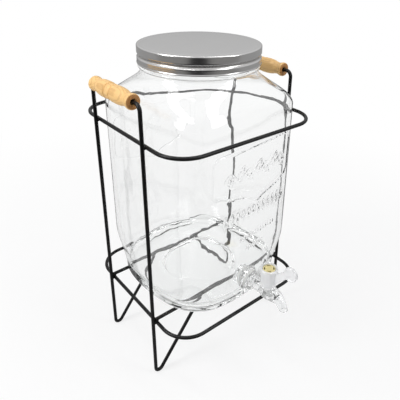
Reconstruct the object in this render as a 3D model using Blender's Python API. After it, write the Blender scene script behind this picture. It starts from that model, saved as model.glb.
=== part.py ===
"""Glass drinks dispenser: a square jar with a screw lid and a plastic tap, standing in a wire frame.

Metres, +Z up. The origin lies on the table, at the centre of the space that the object takes up.
The stand faces -Y. The jar sits in it a little turned, as it does in use, and the tap points forward.
"""
import math

import bmesh
import bpy
from mathutils import Matrix, Vector

# Fits that the pieces share
fit_gap = 0.0003
cut_overrun = 0.002
weld_distance = 0.00001
merge_distance = 0.000005

# Wire stand
wire_diameter = 0.0045
ring_play = 0.002
ring_corner = 0.0348
ring_below_shoulder = 0.01565
lower_ring_height = 0.085
finger_room = 0.0461
leg_splay = 0.0028
shoulder_bend = 0.0072
foot_bend = 0.0052
foot_angle = math.radians(52.3)
foot_flat = 0.0004

# Turned wooden grips
grip_length = 0.084
grip_play = 0.0022
grip_mouth = 0.0011
grip_mouth_depth = 0.0035
grip_end_radius = 0.0087
grip_waist_radius = 0.0073
grip_barrel_radius = 0.0096
grip_groove_radius = 0.0079
grip_band_radius = 0.0091
grip_edge = 0.0007
grip_flare = 0.003
grip_waist = 0.0095
grip_barrel = 0.025
grip_groove = 0.0055
grip_band = 0.0032

# Glass jar, with its heights measured from its own foot
jar_turn = math.radians(5.1)
jar_side = 0.0029
jar_forward = 0.0013
jar_half = 0.0935
jar_corner = 0.042
glass_wall = 0.0048
glass_floor = 0.009
punt_radius = 0.047
punt_height = 0.003
punt_edge = 0.004
heel_draw = 0.0052
heel_height = 0.005
inner_heel_draw = 0.0142
inner_heel_height = 0.009
foot_roundness_share = 0.75
corner_blend_height = 0.062
shoulder_start = 0.2457
shoulder_height = 0.0436
shoulder_fullness = 1.25
shoulder_round_share = 0.87
soft_side_share = 0.4
mouth_radius = 0.064
finish_wall = 0.0046
neck_step = 0.0009
bead_step = 0.0039
bead_height = 0.0048
bead_round = 0.0012
finish_height = 0.0195
rim_round = 0.001

# Screw thread between the jar and the lid
thread_pitch = 0.006
thread_depth = 0.0016
thread_width = 0.0026
thread_start = 0.0076
thread_turns = 1.15
thread_taper_share = 0.08
thread_end_share = 0.3
thread_root_share = 0.75

# Pressed steel lid
lid_play = 0.0006
lid_sheet = 0.0008
lid_edge = 0.0012
lid_band = 0.0093
lid_groove = 0.0046
lid_groove_depth = 0.0017
lid_skirt = 0.007
hem_radius = 0.0007
liner_thickness = 0.0012

# Tap, measured from the crossing of its inlet and its upright axis
tap_arm = 0.0305
tap_clearance = 0.0025
pad_lip = 0.002
pad_outer = 0.002
pad_inner = 0.0032
shank_radius = 0.0077
shank_bore = 0.0045
flange_lip = 0.0005
flange_thickness = 0.0035
washer_radius = 0.0125
outer_washer_thickness = 0.003
inner_washer_thickness = 0.0025
nut_lip = 0.0005
nut_thickness = 0.006
nut_lobe = 0.0011
nut_lobes = 8
shank_past_nut = 0.002
inlet_radius = 0.0082
seam_height = 0.0088
socket_radius = 0.0063
chamber_wall = 0.0043
chamber_floor = 0.0023
socket_wall = 0.0019
sleeve_height = 0.0263
sleeve_wall = 0.001
sleeve_flare = 0.0017
sleeve_rim = 0.0008
core_floor = 0.0075
core_port_radius = 0.0034
core_head_play = 0.0009
core_head_thickness = 0.004
core_head_recess = 0.001
core_slot_inset = 0.0018
core_slot_width = 0.0009
core_slot_depth = 0.0015
core_slot_angle = math.radians(44)
seal_section = 0.00075
seal_below_port = 0.0052
seal_above_port = 0.0062

# Spout: how far its middle line runs forward and down, and its radius from root to tip
spout_reach = 0.0266
spout_drop = 0.0128
spout_root_radius = 0.0097
spout_tip_radius = 0.0051
spout_wall = 0.0012
spout_forward_shares = (0, 0.158, 0.459, 0.726, 0.955, 1)
spout_drop_shares = (0, 0.013, 0.02, 0.221, 0.799, 1)
spout_radius_shares = (0.96, 1, 0.78, 0.33, 0.04, 0)
chamber_shares = ((0.62, 0.86), (0.9, 0.5))

# Wing of the tap's handle
wing_thickness = 0.0036
wing_disc_radius = 0.0091
wing_disc_thickness = 0.005
wing_disc_forward = 0.0318
wing_disc_height = 0.0434
wing_root_low = 0.0064
wing_neck = 0.0092
wing_edge = 0.0008

# Facets
sharp_angle = math.radians(32)
round_steps = 48
quarter_steps = round_steps // 4
small_round_steps = 28
grip_steps = 20
seal_sides = 6
bend_steps = 6
wire_bevel_steps = 2
spout_bevel_steps = 4
spout_span_steps = 3
port_steps = 16
slot_steps = 5
heel_steps = 4
blend_steps = 5
shoulder_steps = 8
swell_steps = 3
groove_steps = 6
edge_steps = 3

# Sizes worked out from the ones above
wire_radius = wire_diameter / 2
turned_half = (jar_half - jar_corner) * (math.cos(jar_turn) + math.sin(jar_turn)) + jar_corner
ring_half = turned_half + max(jar_side, jar_forward) + ring_play + wire_radius
leg_side = ring_half + wire_diameter + fit_gap
leg_top_spread = grip_length / 2 + grip_play + fit_gap + shoulder_bend
leg_foot_spread = leg_top_spread + leg_splay
crossbar_height = lower_ring_height + wire_diameter + fit_gap
jar_seat = crossbar_height + wire_radius + fit_gap
upper_ring_height = jar_seat + shoulder_start - ring_below_shoulder
grip_height = upper_ring_height + finger_room
foot_half = jar_half - heel_draw
inner_half = jar_half - glass_wall
inner_floor_half = inner_half - inner_heel_draw
finish_radius = mouth_radius + finish_wall
neck_radius = finish_radius + neck_step
bead_radius = finish_radius + bead_step
thread_crest = finish_radius + thread_depth
lid_radius = thread_crest + lid_play + lid_groove_depth + lid_sheet
neck_height = shoulder_start + shoulder_height
bead_top = neck_height + bead_height
rim_height = bead_top + finish_height
liner_height = rim_height + fit_gap
lid_top = liner_height + liner_thickness + fit_gap + lid_sheet
pad_radius = washer_radius + pad_lip
flange_radius = washer_radius + flange_lip
nut_radius = washer_radius + nut_lip
chamber_radius = socket_radius + chamber_wall
chamber_foot = core_floor + chamber_floor
neck_tube_radius = socket_radius + socket_wall
sleeve_bore = neck_tube_radius + fit_gap
sleeve_foot_radius = sleeve_bore + sleeve_wall
sleeve_top_radius = sleeve_foot_radius + sleeve_flare
core_head_radius = sleeve_bore - core_head_play
core_slot_radius = core_head_radius - core_slot_inset
neck_tube_top = seam_height + sleeve_height - core_head_recess - core_head_thickness - fit_gap
tap_reach = jar_half + pad_outer + tap_arm
heel_share = 1 - pad_inner / inner_heel_draw
heel_rise = inner_heel_height * (1 - math.sqrt(1 - heel_share ** 2))
tap_height = glass_floor + heel_rise + washer_radius + tap_clearance
flange_back = tap_arm - fit_gap - outer_washer_thickness - fit_gap
flange_front = flange_back - flange_thickness
pad_depth = pad_outer + glass_wall + pad_inner
pad_back = tap_arm + pad_depth
nut_front = pad_back + fit_gap + inner_washer_thickness + fit_gap
shank_end = nut_front + nut_thickness + shank_past_nut
wing_reach = tap_reach + wing_disc_forward + wing_disc_radius
front_reach = jar_forward + wing_reach * math.cos(jar_turn) + wing_disc_thickness / 2 * math.sin(jar_turn)
stand_back = (front_reach - ring_half - wire_radius) / 2


def clear_scene():
    for old in list(bpy.data.objects):
        bpy.data.objects.remove(old, do_unlink=True)


def finish(name, colour, roughness, metallic=0.0, transmission=0.0):
    """A Principled material in the piece's own colour."""
    made = bpy.data.materials.new(name)
    made.use_nodes = True
    shader = made.node_tree.nodes["Principled BSDF"]
    shader.inputs["Base Color"].default_value = (*colour, 1.0)
    shader.inputs["Roughness"].default_value = roughness
    shader.inputs["Metallic"].default_value = metallic
    shader.inputs["Transmission Weight"].default_value = transmission
    made.diffuse_color = (*colour, 1.0)
    return made


def empty(name, parent=None, place=(0, 0, 0), turn=0.0):
    made = bpy.data.objects.new(name, None)
    bpy.context.scene.collection.objects.link(made)
    made.parent = parent
    made.location = place
    made.rotation_euler = (0, 0, turn)
    return made


def piece(name, mesh, parent, material, place=(0, 0, 0), turn=(0, 0, 0)):
    made = bpy.data.objects.new(name, mesh)
    bpy.context.scene.collection.objects.link(made)
    made.parent = parent
    made.location = place
    made.rotation_euler = turn
    if material:
        mesh.materials.append(material)
    return made


def tool(name, mesh, parent, place=(0, 0, 0), turn=(0, 0, 0)):
    """A shape that only cuts or joins another piece."""
    made = piece(name, mesh, parent, None, place, turn)
    made.hide_render = True
    made.display_type = 'WIRE'
    return made


def combine(target, other, operation):
    step = target.modifiers.new(other.name, 'BOOLEAN')
    step.object = other
    step.operation = operation
    step.solver = 'EXACT'


def mesh_from(build, name):
    """A mesh from a finished bmesh, with welded points, outward faces and smooth rounds."""
    bmesh.ops.remove_doubles(build, verts=build.verts, dist=weld_distance)
    bmesh.ops.dissolve_degenerate(build, dist=merge_distance, edges=build.edges)
    bmesh.ops.recalc_face_normals(build, faces=build.faces)
    mesh = bpy.data.meshes.new(name)
    build.to_mesh(mesh)
    build.free()
    mesh.shade_smooth()
    mesh.set_sharp_from_angle(angle=sharp_angle)
    return mesh


def turned(name, outline, steps=small_round_steps):
    """A closed outline of (radius, height) points, turned about Z."""
    build = bmesh.new()
    corners = [build.verts.new((radius, 0, height)) for radius, height in outline]
    edges = [build.edges.new((corners[i], corners[i - 1])) for i in range(len(corners))]
    bmesh.ops.spin(build, geom=corners + edges, cent=(0, 0, 0), axis=(0, 0, 1),
                   angle=math.tau, steps=steps, use_merge=True)
    return mesh_from(build, name)


def lofted(name, rings):
    """A closed skin over rings that all have the same number of points."""
    build = bmesh.new()
    rows = [[build.verts.new(point) for point in ring] for ring in rings]
    count = len(rows[0])
    for low, high in zip(rows, rows[1:]):
        for i in range(count):
            build.faces.new((low[i - 1], low[i], high[i], high[i - 1]))
    build.faces.new(rows[0])
    build.faces.new(rows[-1])
    return mesh_from(build, name)


def slab(name, outline, thickness, bevel=0.0):
    """A flat outline of (x, y) points, given a thickness about z = 0."""
    build = bmesh.new()
    face = build.faces.new([build.verts.new((x, y, -thickness / 2)) for x, y in outline])
    grown = bmesh.ops.extrude_face_region(build, geom=[face])
    raised = [item for item in grown["geom"] if isinstance(item, bmesh.types.BMVert)]
    bmesh.ops.translate(build, verts=raised, vec=(0, 0, thickness))
    if bevel:
        rim = [edge for edge in build.edges if abs(edge.verts[0].co.z - edge.verts[1].co.z) < weld_distance]
        bmesh.ops.bevel(build, geom=rim, offset=bevel, segments=2, affect='EDGES', profile=0.5)
    return mesh_from(build, name)


def swept(name, points, radius, closed=False, shares=None, bevel_steps=wire_bevel_steps):
    """A round bar along a row of points, from a bevelled curve with filled ends."""
    curve = bpy.data.curves.new(name, 'CURVE')
    curve.dimensions = '3D'
    curve.bevel_depth = radius
    curve.bevel_resolution = bevel_steps
    curve.use_fill_caps = True
    line = curve.splines.new('POLY')
    line.points.add(len(points) - 1)
    for i, point in enumerate(points):
        line.points[i].co = (*point, 1.0)
        line.points[i].radius = shares[i] if shares else 1.0
    line.use_cyclic_u = closed
    holder = bpy.data.objects.new(name, curve)
    bpy.context.scene.collection.objects.link(holder)
    bpy.context.view_layer.update()
    raw = bpy.data.meshes.new_from_object(holder.evaluated_get(bpy.context.evaluated_depsgraph_get()))
    bpy.data.objects.remove(holder, do_unlink=True)
    build = bmesh.new()
    build.from_mesh(raw)
    bpy.data.meshes.remove(raw)
    return mesh_from(build, name)


def smooth_line(points, parts):
    """Points on a smooth line through the given ones, with parts steps in each span."""
    ends = [2 * points[0] - points[1], *points, 2 * points[-1] - points[-2]]
    line = []
    for a, b, c, d in zip(ends, ends[1:], ends[2:], ends[3:]):
        for i in range(parts):
            t = i / parts
            line.append(b + (c - a) * t / 2 + (2 * a - 5 * b + 4 * c - d) * t ** 2 / 2
                        + (3 * b - a - 3 * c + d) * t ** 3 / 2)
    line.append(points[-1])
    return line


def arc(middle, first, second, radius, start, stop):
    """Points on an arc in the plane of two unit directions."""
    angles = [start + (stop - start) * i / bend_steps for i in range(bend_steps + 1)]
    return [middle + first * radius * math.cos(a) + second * radius * math.sin(a) for a in angles]


def circle(radius, height):
    angles = [math.tau * i / round_steps for i in range(round_steps)]
    return [(radius * math.cos(a), radius * math.sin(a), height) for a in angles]


def jar_section(half, corner, height):
    """A square with soft sides and round corners; it is a circle where corner equals half."""
    straight = half - corner
    points = []
    for quarter in range(4):
        spin = Matrix.Rotation(quarter * math.pi / 2, 3, 'Z')
        for i in range(quarter_steps):
            share = i / quarter_steps
            along = math.sin(min(1.0, share / soft_side_share) * math.pi / 2)
            across = math.sin(min(1.0, (1 - share) / soft_side_share) * math.pi / 2)
            angle = share * math.pi / 2
            point = Vector((straight * across + corner * math.cos(angle),
                            straight * along + corner * math.sin(angle), height))
            points.append(spin @ point)
    return points


def smoothstep(share):
    share = min(1.0, max(0.0, share))
    return share * share * (3 - 2 * share)


def wire_ring(name, height, parent, material):
    """A square ring of wire with round corners."""
    reach = ring_half - ring_corner
    points = []
    for quarter in range(4):
        spin = Matrix.Rotation(quarter * math.pi / 2, 3, 'Z')
        for point in arc(Vector((reach, reach, 0)), Vector((1, 0, 0)), Vector((0, 1, 0)),
                         ring_corner, 0, math.pi / 2):
            points.append(spin @ point)
    return piece(name, swept(name, points, wire_radius, closed=True), parent, material, (0, 0, height))


def leg_line(front):
    """Half of a side frame's wire, from the grip down one leg and up to the crossbar."""
    spread = leg_foot_spread - leg_top_spread
    drop = grip_height
    outward = Vector((0, front, 0))
    down = Vector((0, front * spread, -drop)).normalized()
    bend_middle = Vector((0, front * (leg_top_spread - shoulder_bend), grip_height - shoulder_bend))
    sweep = math.pi / 2 - math.atan2(spread, drop)
    line = arc(bend_middle, Vector((0, 0, 1)), outward, shoulder_bend, 0, sweep)
    foot_middle = Vector((foot_bend, front * leg_foot_spread, wire_radius + foot_bend - foot_flat))
    knee = Vector((0, front * leg_foot_spread, foot_middle.z)) - down * foot_bend
    line.append(knee)
    line += arc(foot_middle, Vector((-1, 0, 0)), Vector((0, 0, -1)), foot_bend, 0, math.pi / 2 + foot_angle)
    last = line[-1]
    top = crossbar_height - wire_radius - fit_gap - wire_radius * math.cos(foot_angle)
    rise = top - last.z
    line.append(last + Vector((rise / math.tan(foot_angle), 0, rise)))
    return line


def side_frame(name, side, parent, material):
    """One length of wire: foot, leg, grip bar, leg and foot."""
    front = leg_line(-1)
    back = leg_line(1)
    points = [Vector((side * (p.x - leg_side), p.y, p.z)) for p in front[::-1] + back]
    frame = piece(name, swept(name, points, wire_radius), parent, material)
    outline = [(x * ring_half, y * ring_half) for x, y in ((-1, -1), (1, -1), (1, 1), (-1, 1))]
    floor = tool(name + "_floor_cut", slab(name + "_floor_cut", outline, cut_overrun), parent,
                 (-side * leg_side, 0, -cut_overrun / 2))
    combine(frame, floor, 'DIFFERENCE')
    return frame


def crossbar(name, front, parent, material):
    end = leg_side - wire_radius - fit_gap
    points = [Vector((-end, 0, 0)), Vector((end, 0, 0))]
    return piece(name, swept(name, points, wire_radius), parent, material,
                 (0, front * leg_foot_spread, crossbar_height))


def grip(name, side, parent, material):
    """A turned wooden grip, loose on its wire; its origin is on the wire's axis."""
    end = grip_length / 2
    bore = wire_radius + fit_gap
    outline = [(bore, -end + grip_mouth_depth), (bore + grip_mouth, -end),
               (grip_end_radius - grip_edge, -end), (grip_end_radius, -end + grip_edge),
               (grip_end_radius, -end + grip_flare), (grip_waist_radius, -end + grip_waist)]
    for i in range(1, swell_steps + 1):
        share = i / swell_steps
        swell = (grip_barrel_radius - grip_waist_radius) * math.sin(share * math.pi / 2)
        outline.append((grip_waist_radius + swell, -end + grip_waist + (grip_barrel - grip_waist) * share))
    outline += [(grip_barrel_radius, -grip_band - grip_groove),
                (grip_groove_radius, -grip_band - grip_groove / 2),
                (grip_band_radius, -grip_band), (grip_band_radius, 0)]
    outline += [(radius, -height) for radius, height in outline[-2::-1]]
    mesh = turned(name, outline, grip_steps)
    return piece(name, mesh, parent, material, (side * leg_side, grip_play, grip_height), (math.pi / 2, 0, 0))


def jar_outer_rings():
    """Rings of the jar's outside, from the foot to the rim."""
    rings = [circle(punt_radius, punt_height), circle(punt_radius + punt_edge, 0)]
    for i in range(heel_steps + 1):
        angle = i / heel_steps * math.pi / 2
        half = foot_half + heel_draw * math.sin(angle)
        rings.append(jar_section(half, half * foot_roundness_share, heel_height * (1 - math.cos(angle))))
    for i in range(1, blend_steps + 1):
        height = heel_height + corner_blend_height * i / blend_steps
        rings.append(jar_section(jar_half, corner_at(height), height))
    for i in range(shoulder_steps + 1):
        rings.append(shoulder_ring(i / shoulder_steps, 0.0))
    rings += [circle(bead_radius - bead_round / 2, neck_height + bead_round / 2),
              circle(bead_radius, neck_height + bead_round),
              circle(bead_radius, bead_top - bead_round), circle(bead_radius - bead_round, bead_top),
              circle(finish_radius, bead_top), circle(finish_radius, rim_height - rim_round),
              circle(finish_radius - rim_round, rim_height)]
    return rings


def corner_at(height):
    """Corner radius of the jar's body at a height: rounder at the foot, squarer above."""
    share = smoothstep((height - heel_height) / corner_blend_height)
    return jar_half * foot_roundness_share * (1 - share) + jar_corner * share


def shoulder_ring(share, inset):
    """A ring of the shoulder, where the square body draws in to the round neck."""
    fullness = (1 + math.cos(math.pi * share ** shoulder_fullness)) / 2
    half = neck_radius + (jar_half - neck_radius) * fullness
    roundness = smoothstep(share / shoulder_round_share)
    corner = jar_corner + (half - jar_corner) * roundness
    return jar_section(half - inset, corner - inset, shoulder_start + shoulder_height * share)


def jar_inner_rings():
    """Rings of the jar's inside, from the rim down to the floor."""
    rings = [circle(mouth_radius + rim_round, rim_height), circle(mouth_radius, rim_height - rim_round),
             circle(mouth_radius, neck_height)]
    for i in range(shoulder_steps - 1, -1, -1):
        rings.append(shoulder_ring(i / shoulder_steps, glass_wall))
    for i in range(blend_steps, 0, -1):
        height = heel_height + corner_blend_height * i / blend_steps
        if height > glass_floor + inner_heel_height:
            rings.append(jar_section(inner_half, corner_at(height) - glass_wall, height))
    for i in range(heel_steps, -1, -1):
        angle = i / heel_steps * math.pi / 2
        half = inner_floor_half + inner_heel_draw * math.sin(angle)
        height = glass_floor + inner_heel_height * (1 - math.cos(angle))
        corner = min(half * foot_roundness_share, corner_at(height) - glass_wall)
        rings.append(jar_section(half, corner, height))
    return rings


def thread_ridge(name):
    """A helical ridge with faded ends, rooted a little inside the neck's wall."""
    steps = int(thread_turns * round_steps)
    rings = []
    for i in range(steps + 1):
        share = i / steps
        angle = share * thread_turns * math.tau
        height = bead_top + thread_start + thread_pitch * thread_turns * (share - 0.5)
        fade = smoothstep(min(share, 1 - share) / thread_taper_share)
        root = finish_radius - finish_wall * (1 - thread_root_share)
        crest = root + (thread_crest - root) * (thread_end_share + (1 - thread_end_share) * fade)
        outward = Vector((math.cos(angle), math.sin(angle), 0))
        rings.append([outward * root + Vector((0, 0, height - thread_width)),
                      outward * crest + Vector((0, 0, height)),
                      outward * root + Vector((0, 0, height + thread_width))])
    return lofted(name, rings)


def jar_glass(parent, material):
    rings = jar_outer_rings() + jar_inner_rings()
    jar = piece("jar_glass", lofted("jar_glass", rings), parent, material)
    thread = tool("jar_thread", thread_ridge("jar_thread"), parent)
    combine(jar, thread, 'UNION')
    outline = [(0, 0), (pad_radius, 0), (pad_radius, pad_depth), (0, pad_depth)]
    outer_face = -(jar_half + pad_outer)
    pad = tool("jar_tap_pad", turned("jar_tap_pad", outline), parent,
               (0, outer_face, tap_height), (-math.pi / 2, 0, 0))
    combine(jar, pad, 'UNION')
    hole = shank_radius + fit_gap
    deep = pad_depth + cut_overrun
    outline = [(0, -cut_overrun), (hole, -cut_overrun), (hole, deep), (0, deep)]
    bore = tool("jar_tap_bore", turned("jar_tap_bore", outline), parent,
                (0, outer_face, tap_height), (-math.pi / 2, 0, 0))
    combine(jar, bore, 'DIFFERENCE')
    return jar


def lid_shell(parent, material):
    """A pressed cap: flat top, two bands with a rolled groove between, and a curled hem."""
    top = lid_top
    groove_top = top - lid_band
    groove_foot = groove_top - lid_groove
    foot = groove_foot - lid_skirt
    outer = [(0, top), (lid_radius - lid_edge, top)]
    for i in range(1, edge_steps + 1):
        angle = i / edge_steps * math.pi / 2
        outer.append((lid_radius - lid_edge * (1 - math.sin(angle)), top - lid_edge * (1 - math.cos(angle))))
    outer.append((lid_radius, groove_top))
    for i in range(1, groove_steps):
        share = i / groove_steps
        depth = lid_groove_depth * math.sin(math.pi * share)
        outer.append((lid_radius - depth, groove_top - lid_groove * share))
    outer += [(lid_radius, groove_foot), (lid_radius, foot + 2 * hem_radius),
              (lid_radius + hem_radius / 2, foot + hem_radius), (lid_radius, foot)]
    bore = lid_radius - lid_sheet
    inner = [(bore, foot), (bore, groove_foot - lid_sheet / 2)]
    for i in range(groove_steps - 1, 0, -1):
        share = i / groove_steps
        depth = lid_groove_depth * math.sin(math.pi * share)
        inner.append((bore - depth, groove_top - lid_groove * share))
    inner += [(bore, groove_top + lid_sheet / 2), (bore, top - lid_edge),
              (lid_radius - lid_edge, top - lid_sheet), (0, top - lid_sheet)]
    return piece("lid_shell", turned("lid_shell", outer + inner, round_steps), parent, material)


def lid_liner(parent, material):
    radius = lid_radius - lid_edge - fit_gap
    outline = [(0, liner_height), (radius, liner_height), (radius, liner_height + liner_thickness),
               (0, liner_height + liner_thickness)]
    return piece("lid_liner", turned("lid_liner", outline, round_steps), parent, material)


def inlet_frame(parent):
    """An empty whose +Z runs from the tap back into the jar, along the inlet."""
    made = empty("tap_inlet_axis", parent)
    made.rotation_euler = (-math.pi / 2, 0, 0)
    return made


def tap_body(parent, inlet, material):
    """Shank, flange, inlet, chamber and spout in one moulding, with a socket for the core."""
    chamber = [(0, -chamber_foot)]
    chamber += [(chamber_radius * across, -chamber_foot * down) for across, down in chamber_shares]
    chamber += [(chamber_radius, 0), (sleeve_foot_radius, seam_height), (neck_tube_radius, seam_height),
                (neck_tube_radius, neck_tube_top), (0, neck_tube_top)]
    body = piece("tap_body", turned("tap_body", chamber), parent, material)
    shank = [(0, 0), (seam_height - fit_gap, 0), (inlet_radius, flange_front),
             (flange_radius, flange_front), (flange_radius, flange_back),
             (shank_radius, flange_back), (shank_radius, shank_end), (0, shank_end)]
    combine(body, tool("tap_shank", turned("tap_shank", shank), inlet), 'UNION')
    root = seam_height - fit_gap - spout_root_radius
    places = [Vector((0, -spout_reach * forward, root - spout_drop * down))
              for forward, down in zip(spout_forward_shares, spout_drop_shares)]
    line = smooth_line(places, spout_span_steps)
    taper = spout_root_radius - spout_tip_radius
    radii = smooth_line([spout_tip_radius + taper * share for share in spout_radius_shares], spout_span_steps)
    horn = swept("tap_spout", line, max(radii), False, [r / max(radii) for r in radii], spout_bevel_steps)
    combine(body, tool("tap_spout", horn, parent), 'UNION')
    top = seam_height + sleeve_height
    socket = [(0, -core_floor), (socket_radius, -core_floor), (socket_radius, top), (0, top)]
    combine(body, tool("tap_socket", turned("tap_socket", socket), parent), 'DIFFERENCE')
    deep = shank_end + cut_overrun
    bore = [(0, 0), (shank_bore, 0), (shank_bore, deep), (0, deep)]
    combine(body, tool("tap_inlet_bore", turned("tap_inlet_bore", bore), inlet), 'DIFFERENCE')
    start = next(i for i, point in enumerate(line) if -point.y > socket_radius / 2)
    inside = line[start:] + [line[-1] + (line[-1] - line[-2]).normalized() * cut_overrun]
    widths = [min(r - spout_wall, socket_radius - fit_gap) for r in radii[start:]]
    widths.append(widths[-1])
    shares = [width / max(widths) for width in widths]
    channel = swept("tap_spout_bore", inside, max(widths), False, shares, spout_bevel_steps)
    combine(body, tool("tap_spout_bore", channel, parent), 'DIFFERENCE')
    return body


def washer(name, thickness, start, inlet, material):
    inner = shank_radius + fit_gap
    end = start + thickness
    outline = [(inner, start), (washer_radius, start), (washer_radius, end), (inner, end)]
    return piece(name, turned(name, outline), inlet, material)


def tap_nut(inlet, material):
    """A finger nut with eight soft lobes, on the shank inside the jar."""
    middle = nut_front + nut_thickness / 2
    outline = []
    for i in range(round_steps):
        angle = math.tau * i / round_steps
        radius = nut_radius - nut_lobe * (1 - math.cos(nut_lobes * angle)) / 2
        outline.append((radius * math.cos(angle), radius * math.sin(angle)))
    nut = piece("tap_nut", slab("tap_nut", outline, nut_thickness), inlet, material, (0, 0, middle))
    bore = shank_radius + fit_gap
    outline = [(0, -nut_thickness), (bore, -nut_thickness), (bore, nut_thickness), (0, nut_thickness)]
    combine(nut, tool("tap_nut_bore", turned("tap_nut_bore", outline), inlet, (0, 0, middle)), 'DIFFERENCE')
    return nut


def tap_handle(parent, material):
    """The turning sleeve of the tap, with its raised wing and round thumb disc."""
    foot = seam_height + fit_gap
    top = seam_height + sleeve_height
    outline = [(sleeve_bore, foot), (sleeve_foot_radius, foot), (sleeve_top_radius, top - sleeve_rim),
               (sleeve_top_radius - sleeve_rim, top), (sleeve_bore, top)]
    handle = piece("tap_handle", turned("tap_handle", outline), parent, material)
    root = sleeve_bore + fit_gap
    low = foot + wing_root_low
    disc = Vector((wing_disc_forward, wing_disc_height))
    lean = (disc - Vector((root, (low + top) / 2))).normalized()
    side = Vector((-lean.y, lean.x)) * wing_neck / 2
    near = disc - lean * wing_disc_radius
    wing_outline = [(root, low), tuple(near - side), tuple(disc - side), tuple(disc + side), tuple(near + side),
                    (sleeve_top_radius + sleeve_rim, top - sleeve_rim), (root, top - sleeve_rim)]
    turn = Matrix(((0, 0, 1), (-1, 0, 0), (0, 1, 0))).to_euler()
    wing = slab("tap_wing", wing_outline, wing_thickness, wing_edge)
    combine(handle, tool("tap_wing", wing, parent, (0, 0, 0), turn), 'UNION')
    half = wing_disc_thickness / 2
    thumb = [(0, -half), (wing_disc_radius - wing_edge, -half), (wing_disc_radius, -half + wing_edge),
             (wing_disc_radius, half - wing_edge), (wing_disc_radius - wing_edge, half), (0, half)]
    disc_tool = tool("tap_thumb_disc", turned("tap_thumb_disc", thumb), parent, (0, -disc.x, disc.y),
                     (0, math.pi / 2, 0))
    combine(handle, disc_tool, 'UNION')
    return handle


def tap_core(parent, material):
    """The yellow valve plug: a stem with a cross port, two seal grooves and a slotted head."""
    stem = socket_radius - fit_gap
    floor = -core_floor + fit_gap
    head_top = seam_height + sleeve_height - core_head_recess
    head_foot = head_top - core_head_thickness
    groove = stem - 2 * seal_section
    outline = [(0, floor), (stem, floor)]
    for middle in (-seal_below_port, seal_above_port):
        low = middle - seal_section - fit_gap
        high = middle + seal_section + fit_gap
        outline += [(stem, low), (groove, low), (groove, high), (stem, high)]
    outline += [(stem, head_foot), (core_head_radius, head_foot), (core_head_radius, head_top), (0, head_top)]
    core = piece("tap_core", turned("tap_core", outline), parent, material)
    reach = socket_radius + cut_overrun
    outline = [(0, -reach), (core_port_radius, -reach), (core_port_radius, reach), (0, reach)]
    port = turned("tap_core_port", outline, port_steps)
    combine(core, tool("tap_core_port", port, parent, (0, 0, 0), (0, math.pi / 2, 0)), 'DIFFERENCE')
    outer = core_slot_radius + core_slot_width / 2
    inner = core_slot_radius - core_slot_width / 2
    for i in range(4):
        middle = (i + 0.5) * math.pi / 2
        angles = [middle + core_slot_angle * (j / slot_steps - 0.5) for j in range(slot_steps + 1)]
        ring = [(outer * math.cos(a), outer * math.sin(a)) for a in angles]
        ring += [(inner * math.cos(a), inner * math.sin(a)) for a in reversed(angles)]
        name = f"tap_core_slot_{i + 1}"
        slot = slab(name, ring, 2 * core_slot_depth)
        combine(core, tool(name, slot, parent, (0, 0, head_top)), 'DIFFERENCE')
    return core


def seal_ring(name, height, parent, material):
    """A small rubber ring in a groove of the core."""
    middle = socket_radius - fit_gap - seal_section
    outline = []
    for i in range(seal_sides):
        angle = math.tau * (i + 0.5) / seal_sides
        outline.append((middle + seal_section * math.cos(angle), height + seal_section * math.sin(angle)))
    return piece(name, turned(name, outline), parent, material)


def build_stand(base):
    black = finish("stand_black", (0.018, 0.018, 0.019), 0.42)
    wood = finish("turned_wood", (0.86, 0.62, 0.33), 0.5)
    wire_ring("upper_ring", upper_ring_height, base, black)
    wire_ring("lower_ring", lower_ring_height, base, black)
    side_frame("left_side_frame", 1, base, black)
    side_frame("right_side_frame", -1, base, black)
    crossbar("front_crossbar", -1, base, black)
    crossbar("rear_crossbar", 1, base, black)
    grip("left_grip", -1, base, wood)
    grip("right_grip", 1, base, wood)


def build_jar(base):
    glass = finish("clear_glass", (0.93, 0.95, 0.95), 0.03, transmission=1.0)
    steel = finish("brushed_lid", (0.62, 0.61, 0.6), 0.32, metallic=1.0)
    foam = finish("white_liner", (0.85, 0.85, 0.83), 0.7)
    jar = empty("jar_place", base, (jar_side, -jar_forward, jar_seat), jar_turn)
    jar_glass(jar, glass)
    lid_shell(jar, steel)
    lid_liner(jar, foam)
    return jar


def build_tap(jar):
    clear = finish("clear_plastic", (0.93, 0.94, 0.94), 0.06, transmission=1.0)
    yellow = finish("yellow_plastic", (0.93, 0.8, 0.42), 0.35)
    rubber = finish("soft_seal", (0.8, 0.8, 0.78), 0.6)
    tap = empty("tap_axis", jar, (0, -tap_reach, tap_height))
    inlet = inlet_frame(tap)
    tap_body(tap, inlet, clear)
    washer("tap_outer_washer", outer_washer_thickness, flange_back + fit_gap, inlet, rubber)
    washer("tap_inner_washer", inner_washer_thickness, pad_back + fit_gap, inlet, rubber)
    tap_nut(inlet, clear)
    tap_handle(tap, clear)
    tap_core(tap, yellow)
    seal_ring("tap_lower_seal", -seal_below_port, tap, rubber)
    seal_ring("tap_upper_seal", seal_above_port, tap, rubber)


def main():
    clear_scene()
    base = empty("stand_centre", None, (0, stand_back, 0))
    build_stand(base)
    build_tap(build_jar(base))
    bpy.context.view_layer.update()


main()
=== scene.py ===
# %% [markdown]
# # A glass drinks dispenser in a wire stand
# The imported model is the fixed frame: it says where every piece sits and what moves.
# Every piece below is made in metres in that same frame, so nothing is fitted by eye.

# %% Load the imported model
import math

import bmesh
import bpy
import numpy as np
from mathutils import Matrix, Vector


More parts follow.
